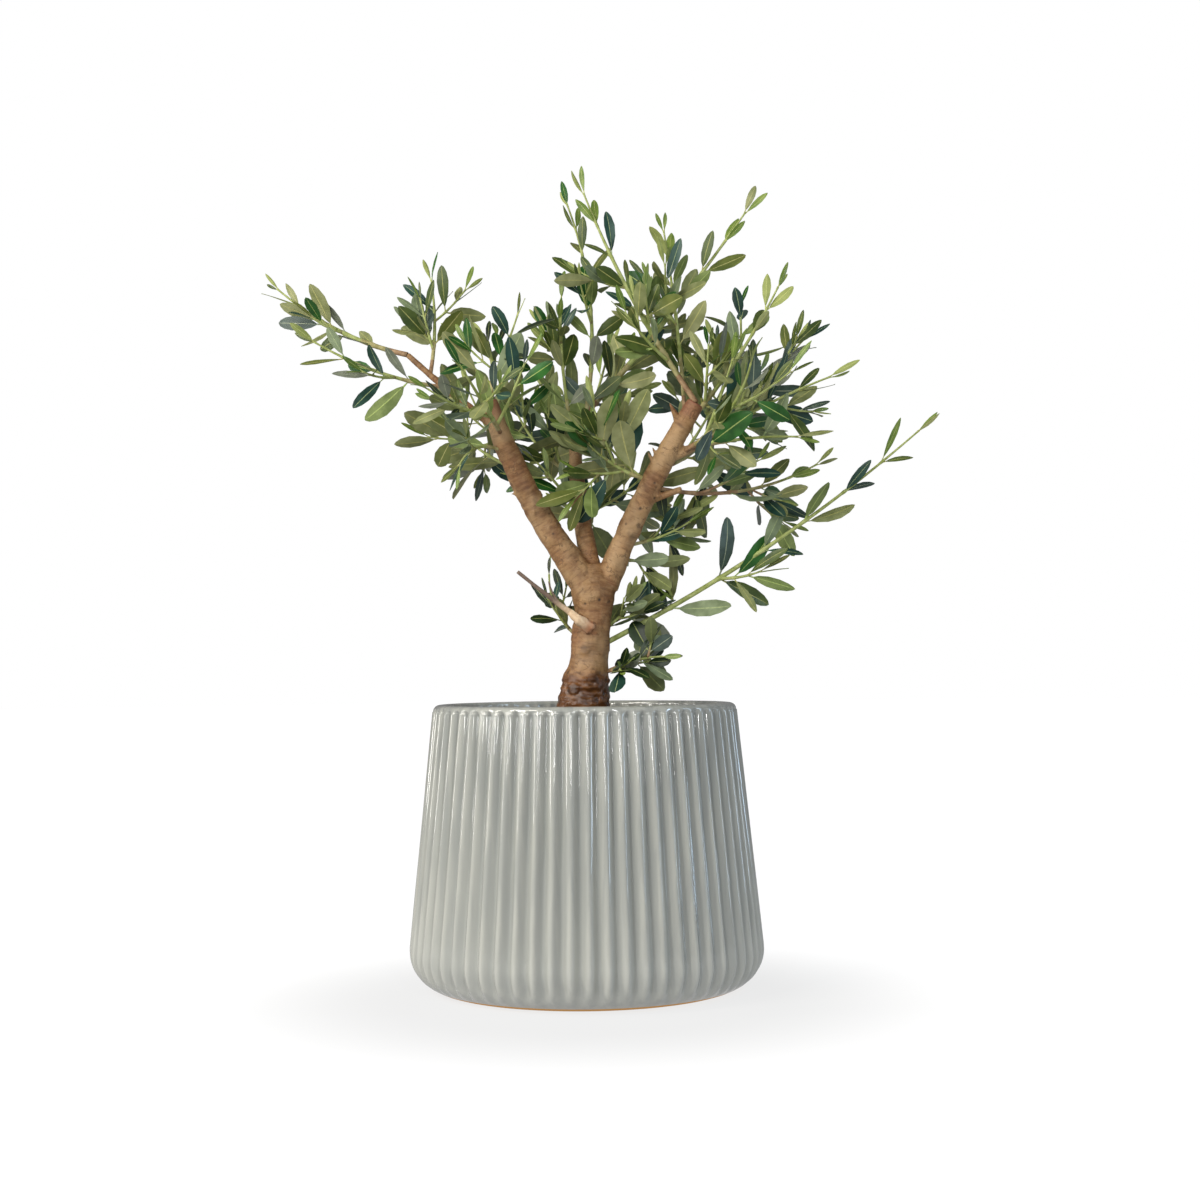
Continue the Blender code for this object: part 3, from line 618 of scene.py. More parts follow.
trunk = limbs["trunk"]
crotch = trunk.point(CROTCH_AT) + CROTCH_OFF
tear_at, tear_turn, tear_spread = TEAR
tear = trunk.point(tear_at) + trunk.facing(tear_at, tear_turn) * trunk.radius(tear_at)
masks = {name: [] for name in ("burl", "scar", "sawn", "tear")}
grain = []
normals = [vertex.normal.copy() for vertex in bark.data.vertices]
for vertex, normal in zip(bark.data.vertices, normals):
    spot = vertex.co.copy()
    name, path, t = axis[near.find(spot)[1]]
    tangent = path.tangent(t)
    out = spot - path.point(t)
    t += out.dot(tangent) / path.length
    along = path.length * t
    size = path.radius(t)
    thick = min(size / 0.010, 1.0)
    foot = ease((BURL_TOP + 0.005 * noise.noise(spot * 70) - spot.z) / 0.009)
    lump = noise.noise(spot * 60) * 0.0011 + noise.noise(spot * 150) * 0.0005
    lump += noise.noise(Vector((spot.x * 330, spot.y * 330, spot.z * 120))) * 0.00022
    arcs = ease((ARC_REACH - (spot - crotch).length) / 0.012) if name == "trunk" else 0.0
    wander = 1.8 * noise.noise(spot * 90) + 0.9 * noise.noise(spot * 260)
    phase = (spot - crotch).length / ARC_GAP if arcs else along / WRINKLE_GAP
    wrinkle = abs(math.sin(phase * math.pi + 2.2 * wander)) ** 0.6 - 0.7
    strong = ease(noise.noise(spot * 85 + Vector((9, 0, 0))) * 3 + 0.35)
    fine = noise.noise(spot * 900) * 0.00007 + noise.noise(spot * 480) * 0.00009
    fold = (0.00015 + 0.00032 * arcs) * max(strong, arcs * 0.8) * wrinkle
    shift = thick * (lump + fold) + fine
    ledges = noise.noise(Vector((spot.x * 70, spot.y * 70, spot.z * 210)))
    shift += foot * (0.0010 + 0.0019 * ledges + 0.0007 * noise.noise(spot * 240))
    mark = 0.0
    for middle, radius, height, dark in knots:
        far = (spot - middle).length / radius
        if far < 1.6:
            lip = math.exp(-((far - 0.75) / 0.28) ** 2)
            dome = 0.75 * math.exp(-(far / 0.55) ** 2) * (1 if height < 0 else 0.6)
            shift += height * (dome + 0.5 * lip)
            mark = max(mark, dark * math.exp(-(far / 0.62) ** 4))
    ends = ease((t - 0.90) / 0.05) if name in ("bough_left", "bough_right") else 0.0
    torn_here = (spot - tear).length / tear_spread + 0.35 * noise.noise(spot * 300)
    masks["tear"].append(ease(1.3 - torn_here * 1.2))
    masks["sawn"].append(ends * (0.45 + 0.55 * ease(normal.dot(tangent) * 2 - 0.4)))
    browned = max(foot, BROWNING * ease((BROWN_TOP - spot.z) / 0.040))
    masks["burl"].append(browned if name == "trunk" else 0.0)
    masks["scar"].append(mark)
    flat = out - tangent * out.dot(tangent)
    grain += (flat.x, flat.y + flat.z, along)
    vertex.co = spot + normal * shift * (1 - ends * 0.6)
for name, values in masks.items():
    bark.data.attributes.new(name, "FLOAT", "POINT").data.foreach_set("value", values)
bark.data.attributes.new("grain", "FLOAT_VECTOR", "POINT").data.foreach_set("vector", grain)

# Olive bark: dry and matt, smooth enough for a faint sheen on its ridges, and glossier where
# the burl swells.
bark_finish, tree, shader, place = new_finish("young_olive_bark")
mask = {name: add_node(tree, "Attribute", {}, attribute_name=name)["Fac"] for name in masks}
lay = add_node(tree, "Attribute", {}, attribute_name="grain")["Vector"]
rings = add_node(tree, "Mapping", {"Vector": lay, "Scale": (0.24, 0.24, 1.0)})["Vector"]
noises = {
    "band": {"Vector": rings, "Scale": 360.0, "Detail": 5.0, "Roughness": 0.62},
    "patch": {"Vector": place, "Scale": 68.0, "Detail": 6.0, "Roughness": 0.62},
    "fleck": {"Vector": place, "Scale": 850.0, "Detail": 4.0, "Roughness": 0.7},
    "broad": {"Vector": place, "Scale": 27.0, "Detail": 3.0},
}
found = {name: add_node(tree, "TexNoise", inputs)["Fac"] for name, inputs in noises.items()}
bent = add_node(tree, "TexNoise", {"Vector": place, "Scale": 210.0, "Detail": 3.0})["Color"]
bent = add_node(tree, "Mix", {0: 0.012, 4: place, 5: bent}, data_type="VECTOR")[1]
plates = {"Vector": bent, "Scale": 95.0}
found["plates"] = add_node(tree, "TexVoronoi", plates, feature="DISTANCE_TO_EDGE")["Distance"]
# What each pattern becomes: the noise it reads, where it starts and is full, and how much of
# it there is at most.
patterns = {
    "crack": ("plates", 0.052, 0.012, 1.0),
    "cracked": ("patch", 0.49, 0.60, 0.60),
    "blotch": ("patch", 0.36, 0.64, 1.0),
    "rusty": ("broad", 0.50, 0.62, 0.50),
    "bleached": ("broad", 0.49, 0.38, 0.60),
    # The band noise also raises the bump, so these two paint light on the raised wrinkle ridges and
    # shade in the sunken creases.
    "lined": ("band", 0.46, 0.68, 0.50),
    "shade": ("band", 0.45, 0.32, 0.60),
    "specks": ("fleck", 0.62, 0.72, 0.50),
}
for name, (source, start, full, most) in patterns.items():
    ramp = {"Value": found[source], "From Min": start, "From Max": full, "To Max": most}
    mask[name] = add_node(tree, "MapRange", ramp)[0]
for name, other in (("crack", "cracked"), ("tear", "blotch")):
    pair = {0: mask[name], 1: mask[other]}
    mask[name] = add_node(tree, "Math", pair, operation="MULTIPLY")[0]
foot_tone = add_node(tree, "Mix", {0: mask["blotch"], 6: "#3C210D", 7: "#69401E"}, data_type="RGBA")[2]
# Painted light on the burl's raised bands.
foot_tone = add_node(tree, "Mix", {0: mask["lined"], 6: foot_tone, 7: "#926233"}, data_type="RGBA")[2]
tone = "#6C4A2B"
for name, colour in (
    ("blotch", "#9A744A"),
    ("rusty", "#7E4F2B"),
    ("bleached", "#B99A70"),
    # Painted light on the raised bands and painted shade in the sunken ones.
    ("lined", "#AE8B5F"),
    ("shade", "#5F4229"),
    ("specks", "#4E3520"),
    ("burl", foot_tone),
    ("sawn", "#84523C"),
    ("tear", "#96592E"),
    ("crack", "#4A311D"),
    ("scar", "#20130B"),
):
    tone = add_node(tree, "Mix", {0: mask[name], 6: tone, 7: colour}, data_type="RGBA")[2]
tree.links.new(tone, shader.inputs["Base Color"])
gloss = add_node(tree, "MapRange", {"Value": mask["burl"], "To Min": 0.62, "To Max": 0.30})[0]
tree.links.new(gloss, shader.inputs["Roughness"])
height = add_node(tree, "Math", {0: found["band"], 1: found["fleck"]}, operation="ADD")[0]
height = add_node(tree, "Math", {0: height, 1: mask["crack"]}, operation="SUBTRACT")[0]
bump = add_node(tree, "Bump", {"Strength": 0.5, "Distance": 0.0007, "Height": height})["Normal"]
tree.links.new(bump, shader.inputs["Normal"])
bark.data.materials.append(bark_finish)
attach(bark, "root")
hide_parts("trunk", *(name for name in LIMBS if name != "dead_twig"))

# ----------------------------------------------------------------------------------------
# Dead stub. What is left of a twig torn from the trunk: pale, dry wood without bark, thick
# and orange where it tore out of the trunk, and thin and grey-brown at its broken end.

STUB_SIDES = 14
STUB_STEP = 0.0018
# The stub swells into a collar over the tear, and one splinter stands off its broken end.
COLLAR_TO = 0.30
COLLAR_RADII = (0.0044, 0.0046, 0.0038, 0.0028)
SPLINTER_AT = 0.42
SPLINTER_TIP = (-0.0290, -0.0260, 0.3420)
SPLINTER_RADII = (0.0012, 0.0009, 0.0006)
# How far from the tear the wood is orange, and from where and over what length it greys.
ORANGE_TO = 0.0085
GREY_FROM = 0.026
GREY_RUN = 0.016


def torn(spot, centre, t):
    """Splits and flattens the stub's wood more towards its torn root."""
    out = spot - centre
    ridge = 1 + 0.28 * noise.noise(Vector((out.x * 500, out.y * 500, t * 5)))
    return centre + out * ridge * (1 + 0.45 * math.exp(-t / 0.10))


wood = bmesh.new()
stub = limbs["dead_twig"]
tube(wood, stub, STUB_SIDES, STUB_STEP, torn)
collar = Path(tear, stub.point(COLLAR_TO), (-0.001, -0.003, 0.0), COLLAR_RADII)
tube(wood, collar, STUB_SIDES, STUB_STEP, torn)
splinter = Path(stub.point(SPLINTER_AT), SPLINTER_TIP, (-0.002, 0, 0.001), SPLINTER_RADII)
tube(wood, splinter, 8, STUB_STEP)
dead = new_piece("dead_stub", wood)
reach = [(vertex.co - tear).length for vertex in dead.data.vertices]
torn_end = dead.data.attributes.new("torn", "FLOAT", "POINT")
torn_end.data.foreach_set("value", [ease(1.35 - far / ORANGE_TO) for far in reach])
grey_end = dead.data.attributes.new("aged", "FLOAT", "POINT")
grey_end.data.foreach_set("value", [ease((far - GREY_FROM) / GREY_RUN) for far in reach])

# Weathered wood: bone-dry and matt, flecked in pale and darker tones.
dead_finish, tree, shader, place = new_finish("weathered_wood")
root_mask = add_node(tree, "Attribute", {}, attribute_name="torn")["Fac"]
streak = add_node(tree, "TexNoise", {"Vector": place, "Scale": 420.0, "Detail": 4.0})["Fac"]
pale = add_node(tree, "Mix", {0: streak, 6: "#B08E6E", 7: "#E9D2B0"}, data_type="RGBA")[2]
aged = add_node(tree, "Attribute", {}, attribute_name="aged")["Fac"]
grey = add_node(tree, "Mix", {0: streak, 6: "#5E4C42", 7: "#8A7666"}, data_type="RGBA")[2]
pale = add_node(tree, "Mix", {0: aged, 6: pale, 7: grey}, data_type="RGBA")[2]
pale = add_node(tree, "Mix", {0: root_mask, 6: pale, 7: "#9A5B34"}, data_type="RGBA")[2]
tree.links.new(pale, shader.inputs["Base Color"])
shader.inputs["Roughness"].default_value = 0.80
bump = add_node(tree, "Bump", {"Strength": 0.5, "Distance": 0.0005, "Height": streak})["Normal"]
tree.links.new(bump, shader.inputs["Normal"])
dead.data.materials.append(dead_finish)
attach(dead, "root")
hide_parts("dead_twig")

# ----------------------------------------------------------------------------------------
# Twigs. This year's shoots and the older twigs that carry them: slim rods that swell a
# little where each pair of leaves leaves them, tan and woody at the bough, then olive
# green, and yellow-green where they still grow. They branch by one seeded rule.

Mass = namedtuple("Mass", "limb at tip bow radius twigs reach leaf")
# Each mass: the limb and the place on it that carry the stem, the stem's tip and bow, its
# radius at the root, and its number of side twigs, their reach and the length of a leaf.
MASSES = {
    "left_reach": Mass(
        "branch_left", 1.0, (-0.2638, 0.02, 0.6009), (-0.002, 0.0, -0.008), 0.0019, 1, 0.034, 0.038
    ),
    "left_arm": Mass(
        "branch_left", 0.58, (-0.2242, -0.034, 0.5452), (0.0, -0.004, -0.007), 0.0015, 1, 0.04, 0.038
    ),
    "left_rise": Mass(
        "branch_left", 0.74, (-0.1296, 0.014, 0.6065), (0.003, 0.004, 0.0), 0.0015, 2, 0.042, 0.038
    ),
    "left_inner": Mass(
        "bough_left", 1.0, (-0.0801, -0.004, 0.5469), (0.004, -0.002, 0.0), 0.0018, 3, 0.05, 0.042
    ),
    "left_low": Mass(
        "bough_left", 0.93, (-0.1246, -0.034, 0.4952), (-0.002, -0.008, -0.003), 0.0014, 1, 0.04, 0.032
    ),
    "left_hang": Mass(
        "bough_left", 0.74, (-0.1021, -0.04, 0.4399), (-0.004, -0.004, 0.01), 0.0013, 2, 0.038, 0.036
    ),
    "mid_left": Mass(
        "bough_back", 0.66, (-0.0596, 0.052, 0.4988), (-0.004, 0.004, -0.006), 0.0015, 2, 0.05, 0.038
    ),
    "mid_low": Mass(
        "bough_back", 0.4, (-0.0391, 0.016, 0.4465), (-0.003, 0.002, 0.006), 0.0013, 1, 0.04, 0.038
    ),
    "top_left": Mass(
        "bough_back", 0.76, (-0.0118, 0.045, 0.6786), (0.018, -0.012, 0.002), 0.0017, 1, 0.04, 0.036
    ),
    "top_low": Mass(
        "bough_back", 0.88, (-0.0172, 0.02, 0.5904), (-0.004, -0.008, -0.004), 0.0014, 2, 0.04, 0.036
    ),
    "top_main": Mass(
        "bough_back", 1.0, (0.1442, 0.022, 0.665), (-0.001, -0.002, -0.009), 0.0024, 3, 0.056, 0.042
    ),
    "right_top": Mass(
        "bough_right", 1.0, (0.0032, 0.0, 0.6773), (-0.005, 0.004, -0.002), 0.0021, 3, 0.05, 0.038
    ),
    "right_rise": Mass(
        "bough_right", 0.9, (0.073, 0.036, 0.6527), (0.003, 0.014, 0.0), 0.0016, 2, 0.044, 0.038
    ),
    "right_up": Mass(
        "bough_right", 0.8, (0.1675, -0.02, 0.5905), (0.004, -0.01, -0.004), 0.0018, 3, 0.048, 0.036
    ),
    "right_side": Mass(
        "branch_right", 1.0, (0.1891, -0.016, 0.5462), (0.0, 0.0, -0.002), 0.0018, 3, 0.046, 0.038
    ),
    "right_out": Mass(
        "branch_right", 0.78, (0.2077, -0.044, 0.5099), (-0.002, -0.01, 0.002), 0.0015, 2, 0.042, 0.04
    ),
    "right_hang": Mass(
        "branch_right", 0.62, (0.1782, -0.06, 0.4581), (0.0, -0.012, 0.002), 0.0014, 1, 0.04, 0.044
    ),
    "right_mid": Mass(
        "bough_right", 0.54, (0.205, 0.032, 0.4451), (0.003, 0.014, -0.013), 0.0017, 2, 0.05, 0.042
    ),
    "right_low": Mass(
        "trunk", 0.47, (0.2853, -0.02, 0.4672), (0.01, 0.024, -0.006), 0.002, 3, 0.044, 0.048
    ),
    "low_fan": Mass(
        "trunk", 0.56, (0.0418, 0.01, 0.3286), (0.004, 0.004, -0.002), 0.0014, 2, 0.036, 0.036
    ),
    "low_right": Mass(
        "trunk", 0.28, (0.0663, -0.01, 0.2783), (0.002, -0.002, 0.005), 0.0014, 2, 0.03, 0.03
    ),
    "low_left": Mass(
        "trunk", 0.5, (-0.03, 0.022, 0.3503), (-0.009, 0.004, -0.004), 0.0013, 2, 0.03, 0.03
    ),
    "mid_right": Mass(
        "bough_right", 0.58, (-0.0058, -0.014, 0.468), (0.004, -0.002, -0.01), 0.0016, 3, 0.046, 0.048
    ),
    "right_under": Mass(
        "bough_right", 0.22, (0.0936, 0.024, 0.4042), (0.002, 0.006, -0.006), 0.0014, 2, 0.036, 0.04
    ),
    "hang_right": Mass(
        "bough_right", 0.12, (0.067, 0.02, 0.3474), (0.0, 0.003, 0.008), 0.0013, 2, 0.034, 0.038
    ),
    "back_left": Mass(
        "bough_left", 0.64, (-0.1073, 0.145, 0.5297), (0.004, 0.008, -0.014), 0.0021, 3, 0.076, 0.05
    ),
    "back_mid": Mass(
        "bough_back", 0.72, (0.0252, 0.19, 0.5736), (-0.004, 0.016, -0.012), 0.0021, 3, 0.078, 0.05
    ),
    "back_right": Mass(
        "bough_right", 0.64, (0.1499, 0.15, 0.5372), (0.003, 0.012, -0.014), 0.0021, 3, 0.076, 0.05
    ),
    "back_low": Mass(
        "bough_back", 0.28, (0.0141, 0.15, 0.4604), (0.002, 0.01, -0.008), 0.0018, 2, 0.062, 0.048
    ),
    "front_left": Mass(
        "bough_left", 0.84, (-0.0935, -0.135, 0.5065), (0.004, -0.006, -0.006), 0.0018, 3, 0.06, 0.044
    ),
    "front_right": Mass(
        "branch_right", 0.46, (0.1347, -0.13, 0.5083), (0.008, -0.006, -0.006), 0.0018, 3, 0.06, 0.044
    ),
}
GOLDEN_ANGLE = math.radians(137.5)
TWIG_LEAN = math.radians(46)
TWIG_JITTER = math.radians(12)
TWIG_RISE = 0.16
TWIGS_FROM, TWIGS_TO = 0.12, 0.66
TWIG_TIP_RADIUS = 0.0007
TWIG_SIDES = 7
TWIG_STEP = 0.0035
TWIG_CLEAR = 0.0010
OWN_SPACE = 0.85
FINE_FROM, FINE_TO = 0.22, 0.80
FINE_REACH = 0.55
# From how far along a twig is tested against the limbs: before that it leaves its carrier.
SIDE_FREE_FROM = 0.12
FINE_FREE_FROM = 0.15
BARE_STEM = 0.16
BARE_TWIG = 0.20
PAIR_SPACING = 0.80
NODE_SWELL = 0.30
# Where a stem stops being woody and where it is green; a few stems are older or younger.
RIPENING = (0.12, 0.32)
RIPENING_OF = {"right_mid": (0.50, 0.74), "low_right": (0.46, 0.70), "right_low": (-1.0, -1.0)}

# The gap between pairs of leaves, in leaf lengths, where it isn't PAIR_SPACING: wider on
# open sprays.
SPACING_OF = {
    "right_low": 0.98, "low_left": 1.10, "left_arm": 0.98, "left_rise": 1.08, "right_top": 0.88,
    "left_inner": 1.30, "mid_left": 1.30, "left_low": 1.20, "left_hang": 1.20, "front_left": 1.25,
    "top_low": 0.92, "mid_low": 1.05, "back_left": 1.0,
}

# How many finer twigs each mass bears, where it isn't one: the rear masses are the full ones.
FINE_TWIGS = {
    "mid_left": 2, "top_low": 3, "mid_right": 4, "low_fan": 3, "low_right": 3, "back_left": 6,
    "back_mid": 6, "back_right": 6, "back_low": 4, "front_right": 2, "right_up": 2,
    "right_side": 2, "right_rise": 2, "right_top": 2, "top_main": 3, "hang_right": 0,
    "right_hang": 0, "low_left": 0, "front_left": 0, "left_low": 0, "right_low": 0,
    "left_reach": 0, "left_arm": 0,
}


def nearest(points):
    """A search tree over points."""
    tree = KDTree(len(points))
    for index, point in enumerate(points):
        tree.insert(point, index)
    tree.balance()
    return tree


def stem_path(mass):
    """The curve of a mass's own stem, rooted on the axis of its limb."""
    radii = (mass.radius * 1.25, mass.radius * 0.95, TWIG_TIP_RADIUS * 1.1)
    return Path(limbs[mass.limb].point(mass.at), mass.tip, mass.bow, radii)


def shoot(carrier, t, angle, lean, length, sag, radii):
    """A twig that leaves its carrier at this angle round it and turns up at its end."""
    out = carrier.across(t, angle)
    root = carrier.point(t)
    tip = root + (carrier.tangent(t) * math.cos(lean) + out * math.sin(lean)) * length
    tip.z += TWIG_RISE * length
    return Path(root, tip, (0, 0, -sag * length), radii)


def side_twigs(rng, mass, stem):
    """Twigs that spiral up the stem, shorter towards its tip."""
    found = []
    turn = rng.uniform(0, 2 * math.pi)
    for index in range(mass.twigs):
        t = TWIGS_FROM + (TWIGS_TO - TWIGS_FROM) * (index + rng.uniform(0.25, 0.75)) / mass.twigs
        lean = TWIG_LEAN + rng.uniform(-TWIG_JITTER, TWIG_JITTER)
        length = mass.reach * (1.15 - 0.55 * t) * rng.uniform(0.85, 1.15)
        radii = (min(stem.radius(t) * 0.85, TWIG_TIP_RADIUS * 2.4), TWIG_TIP_RADIUS)
        found.append(shoot(stem, t, turn + index * GOLDEN_ANGLE, lean, length, 0.05, radii))
    return found


def fine_twigs(rng, mass, carriers, count):
    """Short finer twigs on the stem and on its side twigs."""
    found = []
    turn = rng.uniform(0, 2 * math.pi)
    radii = (TWIG_TIP_RADIUS * 1.5, TWIG_TIP_RADIUS * 0.9)
    for index in range(count):
        carrier = carriers[index % len(carriers)]
        t = rng.uniform(FINE_FROM, FINE_TO)
        lean = TWIG_LEAN + rng.uniform(-TWIG_JITTER, 2 * TWIG_JITTER)
        length = mass.reach * FINE_REACH * rng.uniform(0.8, 1.25)
        found.append(shoot(carrier, t, turn + index * GOLDEN_ANGLE, lean, length, 0.04, radii))
    return found


limb_skins = []
for name, path in limbs.items():
    wide = tuple(radius + TWIG_CLEAR for radius in path.radii)
    bow = (path.control - (path.root + path.tip) / 2) / 2
    bm = bmesh.new()
    tube(bm, Path(path.root, path.tip, bow, wide), 12, 0.010)
    limb_skins.append(BVHTree.FromBMesh(bm))
    bm.free()


def clear_of_limbs(points, faces):
    """Whether these faces miss every limb."""
    shape = BVHTree.FromPolygons(points, faces)
    return not any(shape.overlap(skin) for skin in limb_skins)


def rod(path, t_from=0.0):
    """Two crossed strips along the path, to test what it touches."""
    points, faces = [], []
    for step in range(7):
        t = t_from + (1 - t_from) * step / 6
        for angle in (0.0, math.pi / 2):
            out = path.across(t, angle) * path.radius(t)
            points += [path.point(t) + out, path.point(t) - out]
    for step in range(6):
        for strip in (0, 2):
            a = step * 4 + strip
            faces.append((a, a + 1, a + 5, a + 4))
    return points, faces


def has_space(twig, own, foreign, free_from):
    """Whether the twig ends nearer to its own mass than to another, and misses the limbs."""
    among_own = own.find(twig.tip)[2] * OWN_SPACE < foreign.find(twig.tip)[2]
    return among_own and clear_of_limbs(*rod(twig, free_from))


stems = {name: stem_path(mass) for name, mass in MASSES.items()}
crown = {}
for name, mass in MASSES.items():
    stem = stems[name]
    own = nearest([stem.point(step / 20) for step in range(2, 21)])
    foreign = nearest(
        [stems[other].point(step / 20) for other in stems if other != name for step in range(5, 21)]
    )
    keep = [stem]
    side = side_twigs(random.Random(name), mass, stem)
    keep += [twig for twig in side if has_space(twig, own, foreign, SIDE_FREE_FROM)]
    fine = fine_twigs(random.Random(name + "_fine"), mass, keep, FINE_TWIGS.get(name, 1))
    keep += [twig for twig in fine if has_space(twig, own, foreign, FINE_FREE_FROM)]
    crown[name] = keep


def node_places(path, leaf, bare, name):
    """Where along the path its pairs of leaves stand, closer together towards its tip."""
    spacing = leaf * SPACING_OF.get(name, PAIR_SPACING)
    pairs = max(2, round(path.length * (1 - bare) / spacing))
    shares = [((index + 0.4) / (pairs + 0.4)) ** 0.92 for index in range(pairs + 1)]
    return [bare + (1 - bare) * share for share in shares]


twigs = bmesh.new()
for name, keep in crown.items():
    mass = MASSES[name]
    for path in keep:
        bare = BARE_STEM if path is keep[0] else BARE_TWIG
        places = node_places(path, mass.leaf, bare, name)

        def swell(spot, centre, t):
            """Widens the twig a little at each pair of leaves."""
            close = min(abs(t - place) for place in places) * path.length
            return centre + (spot - centre) * (1 + NODE_SWELL * math.exp(-(close / 0.0022) ** 2))

        def ripeness(t):
            """Woody at the bough, then olive, then green at the tip."""
            woody_to, green_from = RIPENING_OF.get(name, RIPENING)
            age = t if path is keep[0] else 0.30 + 0.7 * t
            return 0 if age < woody_to else 1 if age < green_from else 2

        tube(twigs, path, TWIG_SIDES, TWIG_STEP, swell, ripeness)
twig_piece = new_piece("olive_twigs", twigs)


def living_finish(name, dark, light, roughness, fineness, relief):
    """Living tissue: two close tones in soft cells, with a faint relief."""
    made, tree, shader, place = new_finish(name)
    cells = add_node(tree, "TexNoise", {"Vector": place, "Scale": fineness, "Detail": 3.0})["Fac"]
    wide = add_node(tree, "MapRange", {"Value": cells, "From Min": 0.34, "From Max": 0.66})[0]
    tone = add_node(tree, "Mix", {0: wide, 6: dark, 7: light}, data_type="RGBA")[2]
    tree.links.new(tone, shader.inputs["Base Color"])
    shine = {"Value": cells, "To Min": roughness - 0.06, "To Max": roughness + 0.08}
    tree.links.new(add_node(tree, "MapRange", shine)[0], shader.inputs["Roughness"])
    bump = add_node(tree, "Bump", {"Strength": 0.5, "Distance": relief, "Height": cells})["Normal"]
    tree.links.new(bump, shader.inputs["Normal"])
    shader.inputs["Specular IOR Level"].default_value = 0.38
    return made


# Twig bark: tan cork on last year's wood, then thin skin, olive green and then yellow-green,
# all of it softly mottled.
for name, dark, light in (
    ("corky_twig", "#7A5C42", "#A88B68"),
    ("ripening_twig", "#8B8450", "#ADA576"),
    ("green_shoot", "#87934A", "#AAB372"),
):
    twig_piece.data.materials.append(living_finish(name, dark, light, 0.62, 180.0, 0.0001))
foliage_nodes = ["foliage_" + name for name in MASSES]
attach(twig_piece, "root")
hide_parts(*foliage_nodes)

# ----------------------------------------------------------------------------------------
# Leaves. Leathery olive leaves in crossed pairs: a blunt, spoon-like blade on a short
# stalk, dark and satin above, matt and khaki below, folded a little along a pale midrib.

Leaf = namedtuple("Leaf", "root along face length width tint")
STATIONS = (0.0, 0.12, 0.22, 0.42, 0.66, 0.85, 0.96, 1.0)
STALK_TO = 0.11
STALK_HALF = 0.00055
COLUMNS = (-1.0, -0.5, -0.05, 0.05, 0.5, 1.0)
KEEL_HALF = 0.06
# How wide a leaf is for its length: the least, the most and the usual. The low shoots bear
# round leaves, and the long shoot at the right bears slender ones.
LEAF_SHAPE = (0.25, 0.48, 0.36)
LEAF_SHAPE_OF = {
    "right_low": (0.22, 0.36, 0.27),
    "low_right": (0.42, 0.62, 0.54),
    "low_fan": (0.34, 0.56, 0.44),
}
TIP_SLIMMER = 0.45
# A leaf's length for its mass's: at the root of a twig, how much is lost by its tip, the
# least and the most, and the share of it that leaves on side twigs reach.
ROOT_LEAF = 1.12
TIP_SHORTER = 0.50
LEAF_SIZES = (0.70, 1.20)
SIDE_LEAF = 0.92
LEAF_THICK = 0.00040
KEEL = 0.00040
LEAF_OPEN_LOW = math.radians(54)
LEAF_OPEN_HIGH = math.radians(15)
LEAF_TWIST = math.radians(38)
LIGHT_UP = 0.45
LIGHT_SIDE = 0.30
SHOWS_BACK = 0.36
FOLD = 0.24
CROWN_AXIS = Vector((0.0, 0.03, 0.46))
LEAF_TEST_FROM = 0.15
LEAF_CHANCES = 4
LEAF_SWING = 0.7
LEAF_ROOM = 0.0045
# The limbs that are kept bare at the front: how far to each side, and from where to where.
SHOWN_LIMBS = (
    ("bough_right", 0.021, (0.0, 1.02)),
    ("bough_left", 0.017, (0.0, 0.80)),
    ("trunk", 0.026, (0.0, 1.0)),
)


def leaf_shape(rng, leaf):
    """The points of one closed blade: six across its top and two under its midrib."""
    skew = rng.uniform(1.00, 1.32)
    plump = rng.uniform(0.48, 0.66)
    bend = rng.uniform(-0.25, 0.60)
    twist = rng.uniform(-0.45, 0.45)
    fold = FOLD * rng.uniform(0.2, 1.3)
    curl = rng.uniform(0.0, 0.14)
    side = leaf.along.cross(leaf.face)
    points = []
    centre = leaf.root.copy()
    last = 0.0
    for t in STATIONS:
        angle = bend * (last + t) / 2
        ahead = leaf.along * math.cos(angle) - leaf.face * math.sin(angle)
        centre = centre + ahead * (t - last) * leaf.length
        last = t
        angle = bend * t
        up = leaf.face * math.cos(angle) + leaf.along * math.sin(angle)
        across = side * math.cos(twist * t) + up * math.sin(twist * t)
        up = up * math.cos(twist * t) - side * math.sin(twist * t)
        u = max(t - STALK_TO, 0.0) / (1 - STALK_TO)
        half = leaf.width / 2 * math.sin(math.pi * min(u ** skew, 0.998)) ** plump
        blade = half > 2 * STALK_HALF
        half = max(half, STALK_HALF * (1 - 0.7 * t))
        for column in COLUMNS:
            reach = abs(column)
            cupped = half * (fold * reach - curl * reach ** 2 * 2)
            lift = cupped if blade else STALK_HALF * (0.6 - reach * 0.6)
            points.append(centre + across * column * half + up * lift)
        for column in (KEEL_HALF, -KEEL_HALF):
            points.append(centre + across * column * half - up * (LEAF_THICK + KEEL * (1 - t)))
    return points


def leaf_faces():
    """The faces of a blade as (corners, material): above, below, and the midrib's strips."""
    ring = len(COLUMNS) + 2
    finishes = (0, 0, 2, 0, 0, 1, 2, 1)
    found = []
    for row in range(len(STATIONS) - 1):
        a, b = row * ring, (row + 1) * ring
        for column, finish in enumerate(finishes):
            after = (column + 1) % ring
            corners = (a + column, a + after, b + after, b + column)
            found.append((corners, 2 if row == 0 else finish))
    found.append((tuple(reversed(range(ring))), 2))
    last = (len(STATIONS) - 1) * ring
    found.append((tuple(range(last, last + ring)), 0))
    return found


